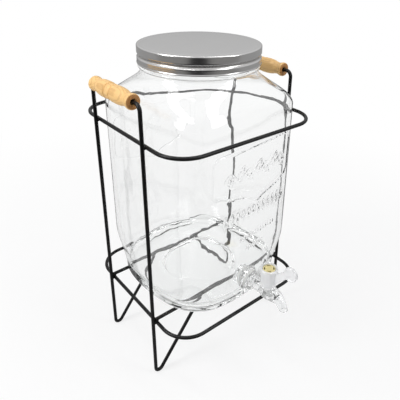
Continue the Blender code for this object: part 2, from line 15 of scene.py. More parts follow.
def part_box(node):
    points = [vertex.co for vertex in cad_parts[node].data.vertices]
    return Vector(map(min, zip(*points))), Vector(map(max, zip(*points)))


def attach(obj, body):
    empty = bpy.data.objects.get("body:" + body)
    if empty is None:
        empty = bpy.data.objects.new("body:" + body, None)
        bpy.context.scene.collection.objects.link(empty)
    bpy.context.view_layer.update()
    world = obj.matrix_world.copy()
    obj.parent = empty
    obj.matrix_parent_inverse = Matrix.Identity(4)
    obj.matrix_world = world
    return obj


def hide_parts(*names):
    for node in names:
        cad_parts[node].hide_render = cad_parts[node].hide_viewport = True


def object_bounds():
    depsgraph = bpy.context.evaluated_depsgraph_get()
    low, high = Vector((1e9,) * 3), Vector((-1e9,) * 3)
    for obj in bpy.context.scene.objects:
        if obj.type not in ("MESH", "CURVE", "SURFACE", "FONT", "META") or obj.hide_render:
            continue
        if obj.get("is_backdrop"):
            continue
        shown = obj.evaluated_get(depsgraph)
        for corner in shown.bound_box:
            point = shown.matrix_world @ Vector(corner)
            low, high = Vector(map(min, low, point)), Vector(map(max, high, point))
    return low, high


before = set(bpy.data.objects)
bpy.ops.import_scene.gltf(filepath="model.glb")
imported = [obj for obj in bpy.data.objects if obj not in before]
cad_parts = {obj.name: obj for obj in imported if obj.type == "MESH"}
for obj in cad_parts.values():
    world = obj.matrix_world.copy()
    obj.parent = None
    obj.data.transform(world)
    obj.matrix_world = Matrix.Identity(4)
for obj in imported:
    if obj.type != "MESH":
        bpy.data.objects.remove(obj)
cad_low, cad_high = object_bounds()

# %% [markdown]
# The camera stands where the photograph was taken: a little above the lid, in front and to the left.
# Its picture is shifted rather than turned, because the photograph was cropped that way.

# %% Camera
picture = 400
sensor = 36.0
camera_place = Vector((-0.32165, -0.39340, 0.51429))
camera_azimuth = math.radians(-40.608)
camera_height_angle = math.radians(25.048)
camera_roll = math.radians(1.3005)
picture_middle = (221.477, 154.142)
camera_lens = 40.718


def aim_camera():
    """A camera whose axes come from its azimuth, its height angle and its roll."""
    a, e, r = camera_azimuth, camera_height_angle, camera_roll
    back = Vector((math.sin(a) * math.cos(e), -math.cos(a) * math.cos(e), math.sin(e)))
    level = Vector((math.cos(a), math.sin(a), 0))
    upward = back.cross(level)
    right = level * math.cos(r) + upward * math.sin(r)
    top = upward * math.cos(r) - level * math.sin(r)
    lens = bpy.data.cameras.new("photo_view")
    lens.sensor_width = sensor
    lens.lens = camera_lens
    lens.shift_x = (picture / 2 - picture_middle[0]) / picture
    lens.shift_y = (picture_middle[1] - picture / 2) / picture
    lens.clip_start = 0.01
    eye = bpy.data.objects.new("photo_view", lens)
    turn = Matrix((right, top, back)).transposed()
    eye.matrix_world = Matrix.Translation(camera_place) @ turn.to_4x4()
    bpy.context.scene.collection.objects.link(eye)
    bpy.context.scene.camera = eye
    return eye


camera = aim_camera()
print("camera shift:", round(camera.data.shift_x, 4), round(camera.data.shift_y, 4))

# %% [markdown]
# Shader maths reads best as plain arithmetic, so one small class wraps a socket and adds a Math node
# for each operator. Every other node comes from one method, which sets the node up and fills its sockets.

# %% Arithmetic on sockets
class Value:
    """A number that varies over a surface: + - and * add Math nodes to its tree."""

    def __init__(self, tree, socket):
        self.tree = tree
        self.socket = socket

    def with_other(self, operation, first, second):
        return self.tree.node("Math", {"operation": operation}, {0: first, 1: second})

    def __add__(self, other):
        return self.with_other("ADD", self, other)

    def __sub__(self, other):
        return self.with_other("SUBTRACT", self, other)

    def __mul__(self, other):
        return self.with_other("MULTIPLY", self, other)

    def __rsub__(self, other):
        return self.with_other("SUBTRACT", other, self)

    __radd__ = __add__
    __rmul__ = __mul__

    def at_least(self, other):
        return self.with_other("MAXIMUM", self, other)

    def part(self, name):
        """Another output of the same node."""
        return Value(self.tree, self.socket.node.outputs[name])


class Recipe:
    """The nodes of one material or of the world."""

    def __init__(self, tree):
        self.nodes = tree.nodes
        self.links = tree.links
        self.nodes.clear()

    def node(self, kind, settings=None, sockets=None, output=0):
        made = self.nodes.new("ShaderNode" + kind)
        for name, value in (settings or {}).items():
            setattr(made, name, value)
        for name, value in (sockets or {}).items():
            if isinstance(value, Value):
                self.links.new(value.socket, made.inputs[name])
            else:
                made.inputs[name].default_value = value
        return Value(self, made.outputs[output]) if made.outputs else None

    def blend(self, share, first, second):
        """A colour between two colours."""
        return self.node("Mix", {"data_type": "RGBA"}, {0: share, 6: first, 7: second}, 2)

    def between(self, value, low, high, first=0.0, second=1.0):
        """A smooth step of a value from one level to another."""
        sockets = {"Value": value, "From Min": low, "From Max": high, "To Min": first, "To Max": second}
        return self.node("MapRange", {"interpolation_type": "SMOOTHSTEP"}, sockets)

    def scaled(self, place, scale):
        return self.node("VectorMath", {"operation": "MULTIPLY"}, {0: place, 1: scale})

    def away_from(self, place, point):
        return self.node("VectorMath", {"operation": "SUBTRACT"}, {0: place, 1: point})

    def length(self, vector):
        return self.node("VectorMath", {"operation": "LENGTH"}, {0: vector}, "Value")

    def coordinate(self, vector, name):
        return self.node("SeparateXYZ", {}, {0: vector}, name)

    def noise(self, place, scale, detail=3.0, roughness=0.5):
        sockets = {"Vector": place, "Scale": scale, "Detail": detail, "Roughness": roughness}
        return self.node("TexNoise", {}, sockets)

    def bump(self, height, strength, distance):
        return self.node("Bump", {}, {"Height": height, "Strength": strength, "Distance": distance})


def colour(red, green, blue):
    return (red, green, blue, 1.0)


def new_finish(name):
    """An empty material, its recipe and the place on the piece, in metres."""
    made = bpy.data.materials.new(name)
    made.use_nodes = True
    recipe = Recipe(made.node_tree)
    return made, recipe, recipe.node("TexCoord", output="Object")


def close_finish(made, recipe, shader):
    """Ends a finish with a shader, or with a Principled shader that has the given sockets."""
    if isinstance(shader, dict):
        shader = recipe.node("BsdfPrincipled", {}, shader)
    recipe.node("OutputMaterial", {}, {"Surface": shader})
    made.diffuse_color = (0.8, 0.8, 0.8, 1.0)
    print("finish:", made.name, len(recipe.nodes), "nodes")
    return made


# %% [markdown]
# The stand is mild steel wire with a satin black powder coat. The coat has a fine orange-peel skin,
# and it is a touch greyer where hands rub it. The colour stays near black, so the shape shows in the gloss.

# %% Black coat of the wires
def black_coat():
    made, recipe, place = new_finish("satin_black_coat")
    rubbed = recipe.between(recipe.noise(place, 38.0, 4.0, 0.6), 0.5, 0.72)
    speck = recipe.between(recipe.noise(place, 900.0, 2.0), 0.62, 0.75)
    tone = recipe.blend(rubbed, colour(0.0024, 0.0024, 0.0026), colour(0.0055, 0.0055, 0.0058))
    tone = recipe.blend(speck * 0.25, tone, colour(0.03, 0.03, 0.03))
    skin = recipe.noise(place, 1500.0, 2.0) * 0.6 + recipe.noise(place, 420.0, 2.0) * 0.8
    sockets = {"Base Color": tone, "Roughness": 0.34 + rubbed * 0.12, "Specular IOR Level": 0.28,
               "Normal": recipe.bump(skin, 0.5, 0.00006)}
    return close_finish(made, recipe, sockets)


black = black_coat()

# %% [markdown]
# The grips are turned from a pale wood. The grain runs along the grip, and the ends are cut across it,
# so they soak up more varnish and look darker. Rings round an axis beside the grip give both views.

# %% Turned wood
def turned_wood(name, heart):
    made, recipe, place = new_finish(name)
    along = recipe.scaled(place, (1.0, 0.09, 1.0))
    wander = recipe.noise(along, 150.0, 3.0)
    beside = recipe.away_from(place, heart)
    flat = recipe.scaled(beside, (1.0, 0.02, 1.0))
    distance = recipe.length(flat)
    ring = recipe.node("Math", {"operation": "SINE"}, {0: distance * 3900.0 + wander * 7.0})
    late = recipe.between(ring, 0.1, 0.95)
    fibre = recipe.noise(recipe.scaled(place, (1.0, 0.035, 1.0)), 1500.0, 2.0)
    pore = recipe.between(recipe.noise(recipe.scaled(place, (1.0, 0.06, 1.0)), 2300.0, 1.0), 0.66, 0.74)
    tone = recipe.blend(late * 0.6, colour(0.86, 0.535, 0.20), colour(0.58, 0.30, 0.085))
    tone = recipe.blend(fibre * 0.35, tone, colour(0.90, 0.63, 0.30))
    tone = recipe.blend(pore * 0.4, tone, colour(0.40, 0.20, 0.07))
    apart = recipe.coordinate(recipe.node("NewGeometry", output="Normal"), "Y")
    end_face = recipe.between(apart * apart, 0.55, 0.9)
    cross = recipe.blend(late * 0.7, colour(0.46, 0.20, 0.045), colour(0.20, 0.06, 0.012))
    tone = recipe.blend(end_face * 0.95, tone, cross)
    grain = late * 0.5 + fibre * 0.5 - pore
    sockets = {"Base Color": tone, "Roughness": 0.42 + fibre * 0.16 + end_face * 0.1, "Coat Weight": 0.22,
               "Coat Roughness": 0.3, "Normal": recipe.bump(grain, 0.45, 0.00012)}
    return close_finish(made, recipe, sockets)


# %% [markdown]
# Clear glass and clear plastic bend the light, so their walls are modelled with real thickness.
# A lamp's light passes through them to the table: for shadow rays they turn nearly clear,
# which stands for the light that real glass bends down there.

# %% Glass and clear plastic
def clear_finish(name, thin, thick, low, high, index, wave, polish, depth, clear=1.0):
    """A clear finish, tinted more between two heights, with a faint ripple in its surface."""
    made, recipe, place = new_finish(name)
    height = recipe.coordinate(place, "Z")
    tint = recipe.blend(recipe.between(height, low, high), thick, thin)
    smear = recipe.between(recipe.noise(place, 30.0, 4.0, 0.6), 0.55, 0.8)
    ripple = recipe.noise(place, wave, 2.0)
    sockets = {"Base Color": tint, "Roughness": polish + smear * 0.02, "IOR": index,
               "Transmission Weight": clear, "Normal": recipe.bump(ripple, 0.35, depth)}
    solid = recipe.node("BsdfPrincipled", {}, sockets)
    passing = recipe.node("BsdfTransparent", {}, {"Color": colour(0.93, 0.935, 0.935)})
    path = recipe.node("LightPath", output="Is Shadow Ray")
    soft = path.part("Is Diffuse Ray")
    shader = recipe.node("MixShader", {}, {0: path.at_least(soft), 1: solid, 2: passing})
    return close_finish(made, recipe, shader)


# %% [markdown]
# The lid is thin steel sheet, turned while it was brushed, so its fine scratches run round it.
# Its rolled groove is painted darker, as painted shade, and is made a little rougher.

# %% Brushed steel
def brushed_steel(middle, top):
    made, recipe, place = new_finish("brushed_steel")
    centred = recipe.away_from(place, (*middle, 0.0))
    round_part = recipe.scaled(centred, (1.0, 1.0, 0.0))
    distance = recipe.length(round_part)
    height = recipe.coordinate(centred, "Z")
    track = recipe.node("CombineXYZ", {}, {"X": distance, "Y": 0.0, "Z": height})
    slow = recipe.scaled(centred, (0.02, 0.02, 0.0))
    path = recipe.node("VectorMath", {"operation": "ADD"}, {0: track, 1: slow})
    scratch = recipe.noise(path, 2600.0, 3.0, 0.7)
    broad = recipe.noise(path, 320.0, 2.0)
    worn = recipe.between(recipe.noise(place, 60.0, 4.0, 0.6), 0.5, 0.75)
    over_foot = recipe.between(height, top - 0.0149, top - 0.0121)
    shaded_groove = over_foot * recipe.between(height, top - 0.0084, top - 0.0106)
    tone = recipe.blend(scratch, colour(0.56, 0.555, 0.55), colour(0.68, 0.675, 0.67))
    # painted shade: the band of the rolled groove is painted darker, standing in for the shade that falls in
    # it
    tone = recipe.blend(shaded_groove * 0.35, tone, colour(0.40, 0.385, 0.37))
    dull = 0.15 + scratch * 0.08 + worn * 0.05 + shaded_groove * 0.08
    sockets = {"Base Color": tone, "Metallic": 1.0, "Roughness": dull, "Anisotropic": 0.2,
               "Normal": recipe.bump(scratch + broad * 0.5, 0.25, 0.00004)}
    return close_finish(made, recipe, sockets)


# %% [markdown]
# The small plastic and rubber pieces are moulded: smooth, a little cloudy, with faint flow marks.

# %% Moulded plastic, rubber and foam
def moulded(name, tone, deep, roughness, mark_scale, mark_depth, sheen):
    made, recipe, place = new_finish(name)
    flow = recipe.noise(place, mark_scale * 0.2, 3.0)
    fine = recipe.noise(place, mark_scale, 2.0)
    body = recipe.blend(recipe.between(flow, 0.35, 0.7), tone, deep)
    sockets = {"Base Color": body, "Roughness": roughness + fine * 0.12, "Sheen Weight": sheen,
               "Normal": recipe.bump(fine, 0.4, mark_depth)}
    return close_finish(made, recipe, sockets)


# %% [markdown]
# Three helpers turn numbers into pieces. A grid of points makes a skin, a row of rings makes a turned form,
# and a line of points makes a wire. Each piece then rides on its body, and the imported pieces it stands for
# are hidden.

# %% Helpers that make meshes
def as_piece(name, points, faces, body, finish, nodes=(), sharp=None):
    """A mesh object in the row's frame, on its body, standing for the nodes that are named."""
    mesh = bpy.data.meshes.new(name)
    mesh.from_pydata([tuple(p) for p in np.asarray(points, float).tolist()], [], faces)
    mesh.update()
    made = bpy.data.objects.new(name, mesh)
    bpy.context.scene.collection.objects.link(made)
    return dress(made, body, finish, nodes, sharp)


def dress(made, body, finish, nodes=(), sharp=None):
    """Faces turned outward, loose points removed, smooth shading, a finish and a body."""
    build = bmesh.new()
    build.from_mesh(made.data)
    loose = [corner for corner in build.verts if not corner.link_faces]
    bmesh.ops.delete(build, geom=loose, context="VERTS")
    bmesh.ops.recalc_face_normals(build, faces=build.faces)
    build.to_mesh(made.data)
    build.free()
    made.data.shade_smooth()
    if sharp:
        made.data.set_sharp_from_angle(angle=sharp)
    made.data.materials.clear()
    made.data.materials.append(finish)
    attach(made, body)
    if nodes:
        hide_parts(*nodes)
    print("piece:", made.name, len(made.data.polygons), "faces")
    return made


def grid_faces(rows, columns, start=0):
    """Quads between rows of a grid whose columns close on themselves."""
    row = np.arange(rows - 1)[:, None] * columns
    column = np.arange(columns)[None, :]
    after = (column + 1) % columns
    corners = [row + column, row + after, row + columns + after, row + columns + column]
    return (np.stack(corners, axis=-1).reshape(-1, 4) + start).tolist()


def turned_form(outline, steps, ripple=None):
    """Points and faces of a closed outline of (radius, height), turned about Z."""
    outline = np.array(outline, float)
    angles = np.arange(steps) * math.tau / steps
    radius = outline[:, 0][:, None] + np.zeros(steps)
    height = outline[:, 1][:, None] + np.zeros(steps)
    if ripple:
        radius = radius + ripple(radius, height, angles)
    points = np.stack([radius * np.cos(angles), radius * np.sin(angles), height], axis=-1).reshape(-1, 3)
    faces = grid_faces(len(outline), steps)
    last = (len(outline) - 1) * steps
    for i in range(steps):
        j = (i + 1) % steps
        faces.append([last + i, last + j, j, i])
    return points, faces


def rounded(outline, radii, steps=4):
    """A closed outline with each corner rounded to its own radius."""
    made = []
    count = len(outline)
    for i, corner in enumerate(outline):
        here = Vector(corner)
        before = Vector(outline[i - 1]) - here
        after = Vector(outline[(i + 1) % count]) - here
        reach = min(radii[i], before.length * 0.45, after.length * 0.45)
        if reach <= 0 or here.x == 0:
            made.append(tuple(here))
            continue
        first = here + before.normalized() * reach
        last = here + after.normalized() * reach
        for k in range(steps + 1):
            share = k / steps
            made.append(tuple(first * (1 - share) ** 2 + here * 2 * share * (1 - share) + last * share ** 2))
    return made


def middle_of(node):
    low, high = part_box(node)
    return (low + high) / 2


# %% [markdown]
# A wire is a round bar along a line of points. Its sides are carried along the line without twist,
# so the highlight runs cleanly through the bends. The shears leave its ends slightly rounded.

# %% Helper that makes wires
wire_radius = 0.00225
wire_sides = 22
wire_end_round = 0.0006


def wire_form(points, closed):
    """Points and faces of a wire along a line; a closed one has no ends."""
    line = np.array([tuple(p) for p in points], float)
    count = len(line)
    ahead = np.roll(line, -1, axis=0)
    behind = np.roll(line, 1, axis=0)
    if not closed:
        ahead[-1] = line[-1]
        behind[0] = line[0]
    run = ahead - behind
    run /= np.linalg.norm(run, axis=1)[:, None]
    side = np.cross(run[0], (0.0, 0.0, 1.0) if abs(run[0][2]) < 0.9 else (1.0, 0.0, 0.0))
    sides = []
    for direction in run:
        side = side - direction * (side @ direction)
        side = side / np.linalg.norm(side)
        sides.append(side)
    sides = np.array(sides)
    others = np.cross(run, sides)
    angles = np.arange(wire_sides) * math.tau / wire_sides

    def ring(i, radius, push=0.0):
        around = np.outer(np.cos(angles), sides[i]) + np.outer(np.sin(angles), others[i])
        return line[i] + run[i] * push + around * radius

    if closed:
        points = np.concatenate([ring(i, wire_radius) for i in range(count)])
        faces = grid_faces(count, wire_sides)
        last = (count - 1) * wire_sides
        shift = int(np.argmin(np.linalg.norm(points[:wire_sides] - points[last], axis=1)))
        for i in range(wire_sides):
            j = (i + 1) % wire_sides
            faces.append([last + i, last + j, (j + shift) % wire_sides, (i + shift) % wire_sides])
        return points, faces
    rings = [ring(0, wire_radius * 0.6), ring(0, wire_radius * 0.88, wire_end_round * 0.3),
             ring(0, wire_radius, wire_end_round)]
    rings += [ring(i, wire_radius) for i in range(1, count - 1)]
    rings += [ring(count - 1, wire_radius, -wire_end_round),
              ring(count - 1, wire_radius * 0.88, -wire_end_round * 0.3), ring(count - 1, wire_radius * 0.6)]
    points = np.concatenate(rings)
    faces = grid_faces(len(rings), wire_sides)
    faces.append(list(range(wire_sides))[::-1])
    faces.append([(len(rings) - 1) * wire_sides + i for i in range(wire_sides)])
    return points, faces


def arc(middle, first, second, radius, start, stop, steps):
    """Points on an arc in the plane of two unit directions."""
    angles = [start + (stop - start) * i / steps for i in range(steps + 1)]
    return [middle + first * radius * math.cos(a) + second * radius * math.sin(a) for a in angles]


# %% [markdown]
# Two square rings hold the jar. Each is one wire bent at four corners and butt welded.

# %% Rings of the stand
ring_corner = 0.0348
ring_bend_steps = 18
axis_x = Vector((1, 0, 0))
axis_y = Vector((0, 1, 0))
axis_z = Vector((0, 0, 1))


def ring_wire(node):
    low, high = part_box(node)
    middle = (low + high) / 2
    reach = (high.x - low.x) / 2 - wire_radius - ring_corner
    line = []
    for quarter in range(4):
        spin = Matrix.Rotation(quarter * math.pi / 2, 3, "Z")
        line += [middle + spin @ p for p in arc(Vector((reach, reach, 0)), axis_x, axis_y, ring_corner,
                                                0, math.pi / 2, ring_bend_steps)]
        straight = [Vector((reach * (1 - 2 * k / 6), reach + ring_corner, 0)) for k in range(1, 6)]
        line += [middle + spin @ p for p in straight]
    points, faces = wire_form(line, True)
    return as_piece(node + "_wire", points, faces, "stand", black, [node])


for ring_node in ("upper_ring", "lower_ring"):
    ring_wire(ring_node)

# %% [markdown]
# Each side frame is one long wire: it starts at a crossbar, runs down to a foot, turns up into a leg,
# passes through the grip and goes down the other leg to the other foot. The feet are ground a little flat.

# %% Side frames and crossbars
grip_length = 0.084
grip_play = 0.0022
shoulder_bend = 0.0072
foot_bend = 0.0052
foot_angle = math.radians(52.3)
foot_flat = 0.0004
fit_gap = 0.0003
bend_steps = 14
grip_middle = middle_of("right_grip")
stand_back = middle_of("upper_ring").y
leg_side = grip_middle.x
grip_height = grip_middle.z
leg_top = grip_length / 2 + grip_play + fit_gap + shoulder_bend
leg_foot = middle_of("rear_crossbar").y - stand_back
bar_height = middle_of("rear_crossbar").z


def leg_line(front):
    """Half of a side frame, from the grip down one leg, round its foot and up to the crossbar."""
    spread = leg_foot - leg_top
    outward = axis_y * front
    down = Vector((0, front * spread, -grip_height)).normalized()
    bend = Vector((0, front * (leg_top - shoulder_bend), grip_height - shoulder_bend))
    sweep = math.pi / 2 - math.atan2(spread, grip_height)
    line = arc(bend, axis_z, outward, shoulder_bend, 0, sweep, bend_steps)
    foot = Vector((foot_bend, front * leg_foot, wire_radius + foot_bend - foot_flat))
    knee = Vector((0, front * leg_foot, foot.z)) - down * foot_bend
    line += [line[-1].lerp(knee, k / 8) for k in range(1, 9)]
    line += arc(foot, -axis_x, -axis_z, foot_bend, 0, math.pi / 2 + foot_angle, bend_steps)
    last = line[-1]
    rise = bar_height - wire_radius - fit_gap - wire_radius * math.cos(foot_angle) - last.z
    line += [last + Vector((rise / math.tan(foot_angle), 0, rise)) * (k / 4) for k in range(1, 5)]
    return line


def side_wire(node, side):
    half = leg_line(-1)[::-1] + leg_line(1)
    line = [Vector((side * (p.x - leg_side), stand_back + p.y, p.z)) for p in half]
    points, faces = wire_form(line, False)
    points[:, 2] = np.maximum(points[:, 2], 0.0)
    return as_piece(node + "_wire", points, faces, "stand", black, [node])


def bar_wire(node):
    low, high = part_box(node)
    middle = (low + high) / 2
    line = [Vector((low.x + (high.x - low.x) * k / 12, middle.y, middle.z)) for k in range(13)]
    points, faces = wire_form(line, False)
    return as_piece(node + "_wire", points, faces, "stand", black, [node])


side_wire("left_side_frame", 1)
side_wire("right_side_frame", -1)
bar_wire("front_crossbar")
bar_wire("rear_crossbar")

# %% [markdown]
# Where wires cross, a spot weld has squeezed out a small collar of metal, and the coat has run over it.
# Each collar is a soft lump with its own uneven outline, long in the direction between the two wires.

# %% Welds
weld_steps = 3
weld_swell = 0.035
ring_weld = (0.0026, 0.0026, 0.0014)
bar_weld = (0.0025, 0.0025, 0.0013)
brace_weld = (0.003, 0.0022, 0.0014)
lumps = np.random.default_rng(17)


def weld(name, place, along, across, size):
    """A soft uneven lump at a crossing of two wires."""
    build = bmesh.new()
    bmesh.ops.create_icosphere(build, subdivisions=weld_steps, radius=1.0)
    waves = lumps.normal(size=(4, 3)) * 2.0
    phases = lumps.uniform(0, math.tau, 4)
    up = along.cross(across).normalized()
    for corner in build.verts:
        unit = np.array(corner.co)
        swell = 1.0 + weld_swell * float(np.sin(waves @ unit + phases).sum())
        flat = Vector((corner.co.x * size[0], corner.co.y * size[1], corner.co.z * size[2])) * swell
        corner.co = place + along * flat.x + across * flat.y + up * flat.z
    mesh = bpy.data.meshes.new(name)
    build.to_mesh(mesh)
    build.free()
    made = bpy.data.objects.new(name, mesh)
    bpy.context.scene.collection.objects.link(made)
    return dress(made, "stand", black)


def leg_at(height):
    """How far the legs stand apart at a height."""
    return leg_foot - (leg_foot - leg_top) * height / grip_height


def brace_side():
    """How far out the foot's raised end meets the crossbar."""
    return leg_side - leg_line(1)[-1].x


def stand_corners():
    """The stand's four corners: side, front or rear, and a name."""
    for side, side_name in ((-1, "left"), (1, "right")):
        for front, front_name in ((-1, "front"), (1, "rear")):
            yield side, front, side_name + "_" + front_name


def weld_all():
    rings = {"upper": middle_of("upper_ring").z, "lower": middle_of("lower_ring").z}
    half = (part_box("upper_ring")[1].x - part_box("upper_ring")[0].x) / 2 - wire_radius
    touch = wire_radius + fit_gap / 2
    for level, height in rings.items():
        for side, front, corner in stand_corners():
            place = Vector((side * (half + touch), stand_back + front * leg_at(height), height))
            weld(f"weld_{level}_{corner}", place, axis_y, axis_z, ring_weld)
    for side, front, corner in stand_corners():
        bar_y = stand_back + front * leg_foot
        place = Vector((side * half, bar_y, rings["lower"] + touch))
        weld(f"weld_bar_{corner}", place, axis_x, axis_y, bar_weld)
        place = Vector((side * brace_side(), bar_y, bar_height - touch))
        weld(f"weld_brace_{corner}", place, axis_x, axis_y, brace_weld)


weld_all()

# %% [markdown]
# A grip is turned between centres: rounded ends, a narrow waist, a long swell and a band with a groove
# at each side. Its bore is plain, with a small countersink at each end, and it spins loose on the wire.

# %% Grips
grip_steps = 96
countersink_depth = 0.0035
countersink_width = 0.0011


def smooth_outline(knots, parts):
    """A smooth line through (radius, height) points."""
    knots = [Vector(k) for k in knots]
    ends = [2 * knots[0] - knots[1], *knots, 2 * knots[-1] - knots[-2]]
    line = []
    for a, b, c, d in zip(ends, ends[1:], ends[2:], ends[3:]):
        for i in range(parts):
            t = i / parts
            line.append(b + (c - a) * t / 2 + (2 * a - 5 * b + 4 * c - d) * t ** 2 / 2
                        + (3 * b - a - 3 * c + d) * t ** 3 / 2)
    return [tuple(p) for p in line] + [tuple(knots[-1])]


def grip(node, heart):
    """A turned grip, on the body that has its name; its wood grew round a heart beside it."""
    bore = wire_radius + fit_gap
    end = grip_length / 2
    swell = [(0.0087, -end + 0.0018), (0.0087, -end + 0.003), (0.0079, -end + 0.0062),
             (0.0073, -end + 0.0095), (0.0078, -end + 0.0138), (0.0091, -end + 0.0195),
             (0.0096, -end + 0.026), (0.0096, -0.0125), (0.0096, -0.0078)]
    half = [(bore, 0.0), (bore, -end + countersink_depth), (bore + countersink_width, -end), (0.0075, -end),
            (0.0083, -end + 0.0004), (0.0086, -end + 0.001)]
    half += smooth_outline(swell, 5)
    half += [(0.0094, -0.0072), (0.0088, -0.0068), (0.0080, -0.0062), (0.0076, -0.0054), (0.0077, -0.0047),
             (0.0083, -0.0040), (0.0088, -0.0035), (0.0091, -0.0029), (0.0092, -0.0021), (0.0092, 0.0)]
    outline = half + [(r, -h) for r, h in half[-2:0:-1]]
    points, faces = turned_form(outline, grip_steps)
    place = middle_of(node)
    points = np.stack([points[:, 0], points[:, 2], -points[:, 1]], axis=-1) + np.array(place)
    wood = turned_wood(node + "_wood", tuple(place + Vector(heart)))
    return as_piece(node + "_turned", points, faces, node, wood, [node], math.radians(38))


grip("left_grip", (0.011, 0.0, -0.006))
grip("right_grip", (-0.009, 0.0, 0.012))

# %% [markdown]
# The jar is pressed glass: a square body with soft sides, a round neck and a thick foot.
# The stand's rear wires look broken through it, because the inside of a pressed wall is never flat.
# So the outside is a fine grid that can carry the raised pattern, and the inside has slow waves of its own.

# %% Sizes of the jar, with heights from its own foot
jar_turn = math.radians(5.1)
jar_half = 0.0935
jar_corner = 0.042
glass_wall = 0.0048
glass_floor = 0.009
heel_draw = 0.0052
heel_height = 0.005
foot_half = jar_half - heel_draw
inner_half = jar_half - glass_wall
inner_heel_draw = 0.0142
inner_heel_height = 0.009
foot_roundness = 0.75
corner_blend = 0.062
shoulder_start = 0.2457
shoulder_height = 0.0436
mouth_radius = 0.064
finish_radius = 0.0686
neck_radius = 0.0695
neck_height = shoulder_start + shoulder_height
bead_top = neck_height + 0.0048
rim_height = bead_top + 0.0195
pad_radius = 0.0145
pad_fade = 0.0016
pad_outer = 0.002
pad_depth = 0.010
hole_radius = 0.008
lid_axis = middle_of("lid_liner")
jar_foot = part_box("jar_glass")[0].z
jar_place = Matrix.Translation((lid_axis.x, lid_axis.y, jar_foot)) @ Matrix.Rotation(jar_turn, 4, "Z")
tap_height = middle_of("tap_outer_washer").z - jar_foot
print("jar foot:", round(jar_foot, 5), "tap height:", round(tap_height, 5))

# %% [markdown]
# A ring of the jar is four quarters. Columns run up the jar at even steps over each face,
# where the pattern is, and wider apart round the corners.

# %% Columns and rings of the jar
face_reach = 0.070
face_step = 0.0009
corner_columns = 36


def quarter_curve(share, half, corner):
    """Outward and sideways distances along a quarter, from the middle of one face to the next."""
    straight = half - corner
    along = np.sin(np.minimum(1.0, share / 0.4) * math.pi / 2)
    across = np.sin(np.minimum(1.0, (1 - share) / 0.4) * math.pi / 2)
    angle = share * math.pi / 2
    return straight * across + corner * np.cos(angle), straight * along + corner * np.sin(angle)


def column_shares():
    """Shares of the columns of one quarter, even over the face and mirrored about the corner."""
    table = np.linspace(0, 0.5, 1500)
    sideways = quarter_curve(table, jar_half, jar_corner)[1]
    steps = np.arange(0, face_reach, face_step)
    near = np.interp(steps, sideways, table)
    middle = np.linspace(near[-1], 1 - near[-1], corner_columns + 1)[1:-1]
    return np.concatenate([near, middle, (1 - near[1:])[::-1]])


shares = column_shares()
quarter_columns = len(shares)
columns = 4 * quarter_columns


def ring_of(half, corner):
    """The x and y of a whole ring."""
    outward, sideways = quarter_curve(shares, half, corner)
    xs, ys = [], []
    for quarter in range(4):
        c, s = round(math.cos(quarter * math.pi / 2)), round(math.sin(quarter * math.pi / 2))
        xs.append(c * outward - s * sideways)
        ys.append(s * outward + c * sideways)
    return np.stack([np.concatenate(xs), np.concatenate(ys)], axis=-1)


def smoothstep(value):
    value = np.clip(value, 0.0, 1.0)
    return value * value * (3 - 2 * value)


def corner_at(height):
    share = float(smoothstep((height - heel_height) / corner_blend))
    return jar_half * foot_roundness * (1 - share) + jar_corner * share


def shoulder_at(share, inset):
    """Half width and corner radius of the shoulder, where the square draws in to the neck."""
    half = neck_radius + (jar_half - neck_radius) * (1 + math.cos(math.pi * share ** 1.25)) / 2
    corner = jar_corner + (half - jar_corner) * float(smoothstep(share / 0.87))
    return half - inset, corner - inset


print("jar columns:", columns)

# %% [markdown]
# The outside goes from the dished foot, round the heel, up the body and over the shoulder to the rim.
# Rows stand close together where the pattern, the tap and the neck's bead need them.

# %% Rows of the jar's outside and inside
tap_rows = 8
tap_row_step = 0.001
pattern_low = 0.068
pattern_high = 0.224
foot_step = 0.0022
plain_step = 0.0024
inner_step = 0.0034
thread_step = 0.0007
shoulder_rows = 30
inner_shoulder_rows = 24


def body_heights(low, high, step):
    """Heights between two levels, with even rows round the tap."""
    window = tap_height + tap_row_step * np.arange(-2 * tap_rows, 2 * tap_rows + 1)
    coarse = max(step, plain_step)
    parts = [np.arange(low, window[0] - 0.0012, foot_step), window,
             np.arange(window[-1] + 0.0015, pattern_low, coarse), np.arange(pattern_low, pattern_high, step),
             np.arange(pattern_high, high, coarse)]
    return np.concatenate(parts)


def outer_rings():
    rings = [(r, r, z) for r, z in ((0.002, 0.003), (0.012, 0.003), (0.028, 0.003), (0.042, 0.003),
                                    (0.0468, 0.0029), (0.0482, 0.0022), (0.0492, 0.0011), (0.0502, 0.0003),
                                    (0.0514, 0.0), (0.060, 0.0), (0.072, 0.0))]
    for i in range(9):
        angle = i / 8 * math.pi / 2
        half = foot_half + heel_draw * math.sin(angle)
        rings.append((half, half * foot_roundness, heel_height * (1 - math.cos(angle))))
    rings += [(jar_half, corner_at(z), z) for z in body_heights(0.0077, shoulder_start - 0.001, face_step)]
    for share in np.linspace(0, 1, shoulder_rows + 1):
        rings.append((*shoulder_at(share, 0.0), shoulder_start + shoulder_height * share))
    bead = [(0.0698, 0.0001), (0.0707, 0.0004), (0.0717, 0.0009), (0.0723, 0.0016), (0.0725, 0.0024),
            (0.0723, 0.0032), (0.0717, 0.0039), (0.0708, 0.0044), (0.0697, 0.0047), (0.06885, 0.0052)]
    rings += [(r, r, neck_height + z) for r, z in bead]
    threaded = np.arange(bead_top + 0.001, rim_height - 0.0011, thread_step)
    rings += [(finish_radius, finish_radius, z) for z in threaded]
    rim = [(0.0, 0.0011), (0.0001, 0.0006), (0.0004, 0.0002), (0.0009, 0.0)]
    rings += [(finish_radius - r, finish_radius - r, rim_height - z) for r, z in rim]
    return rings


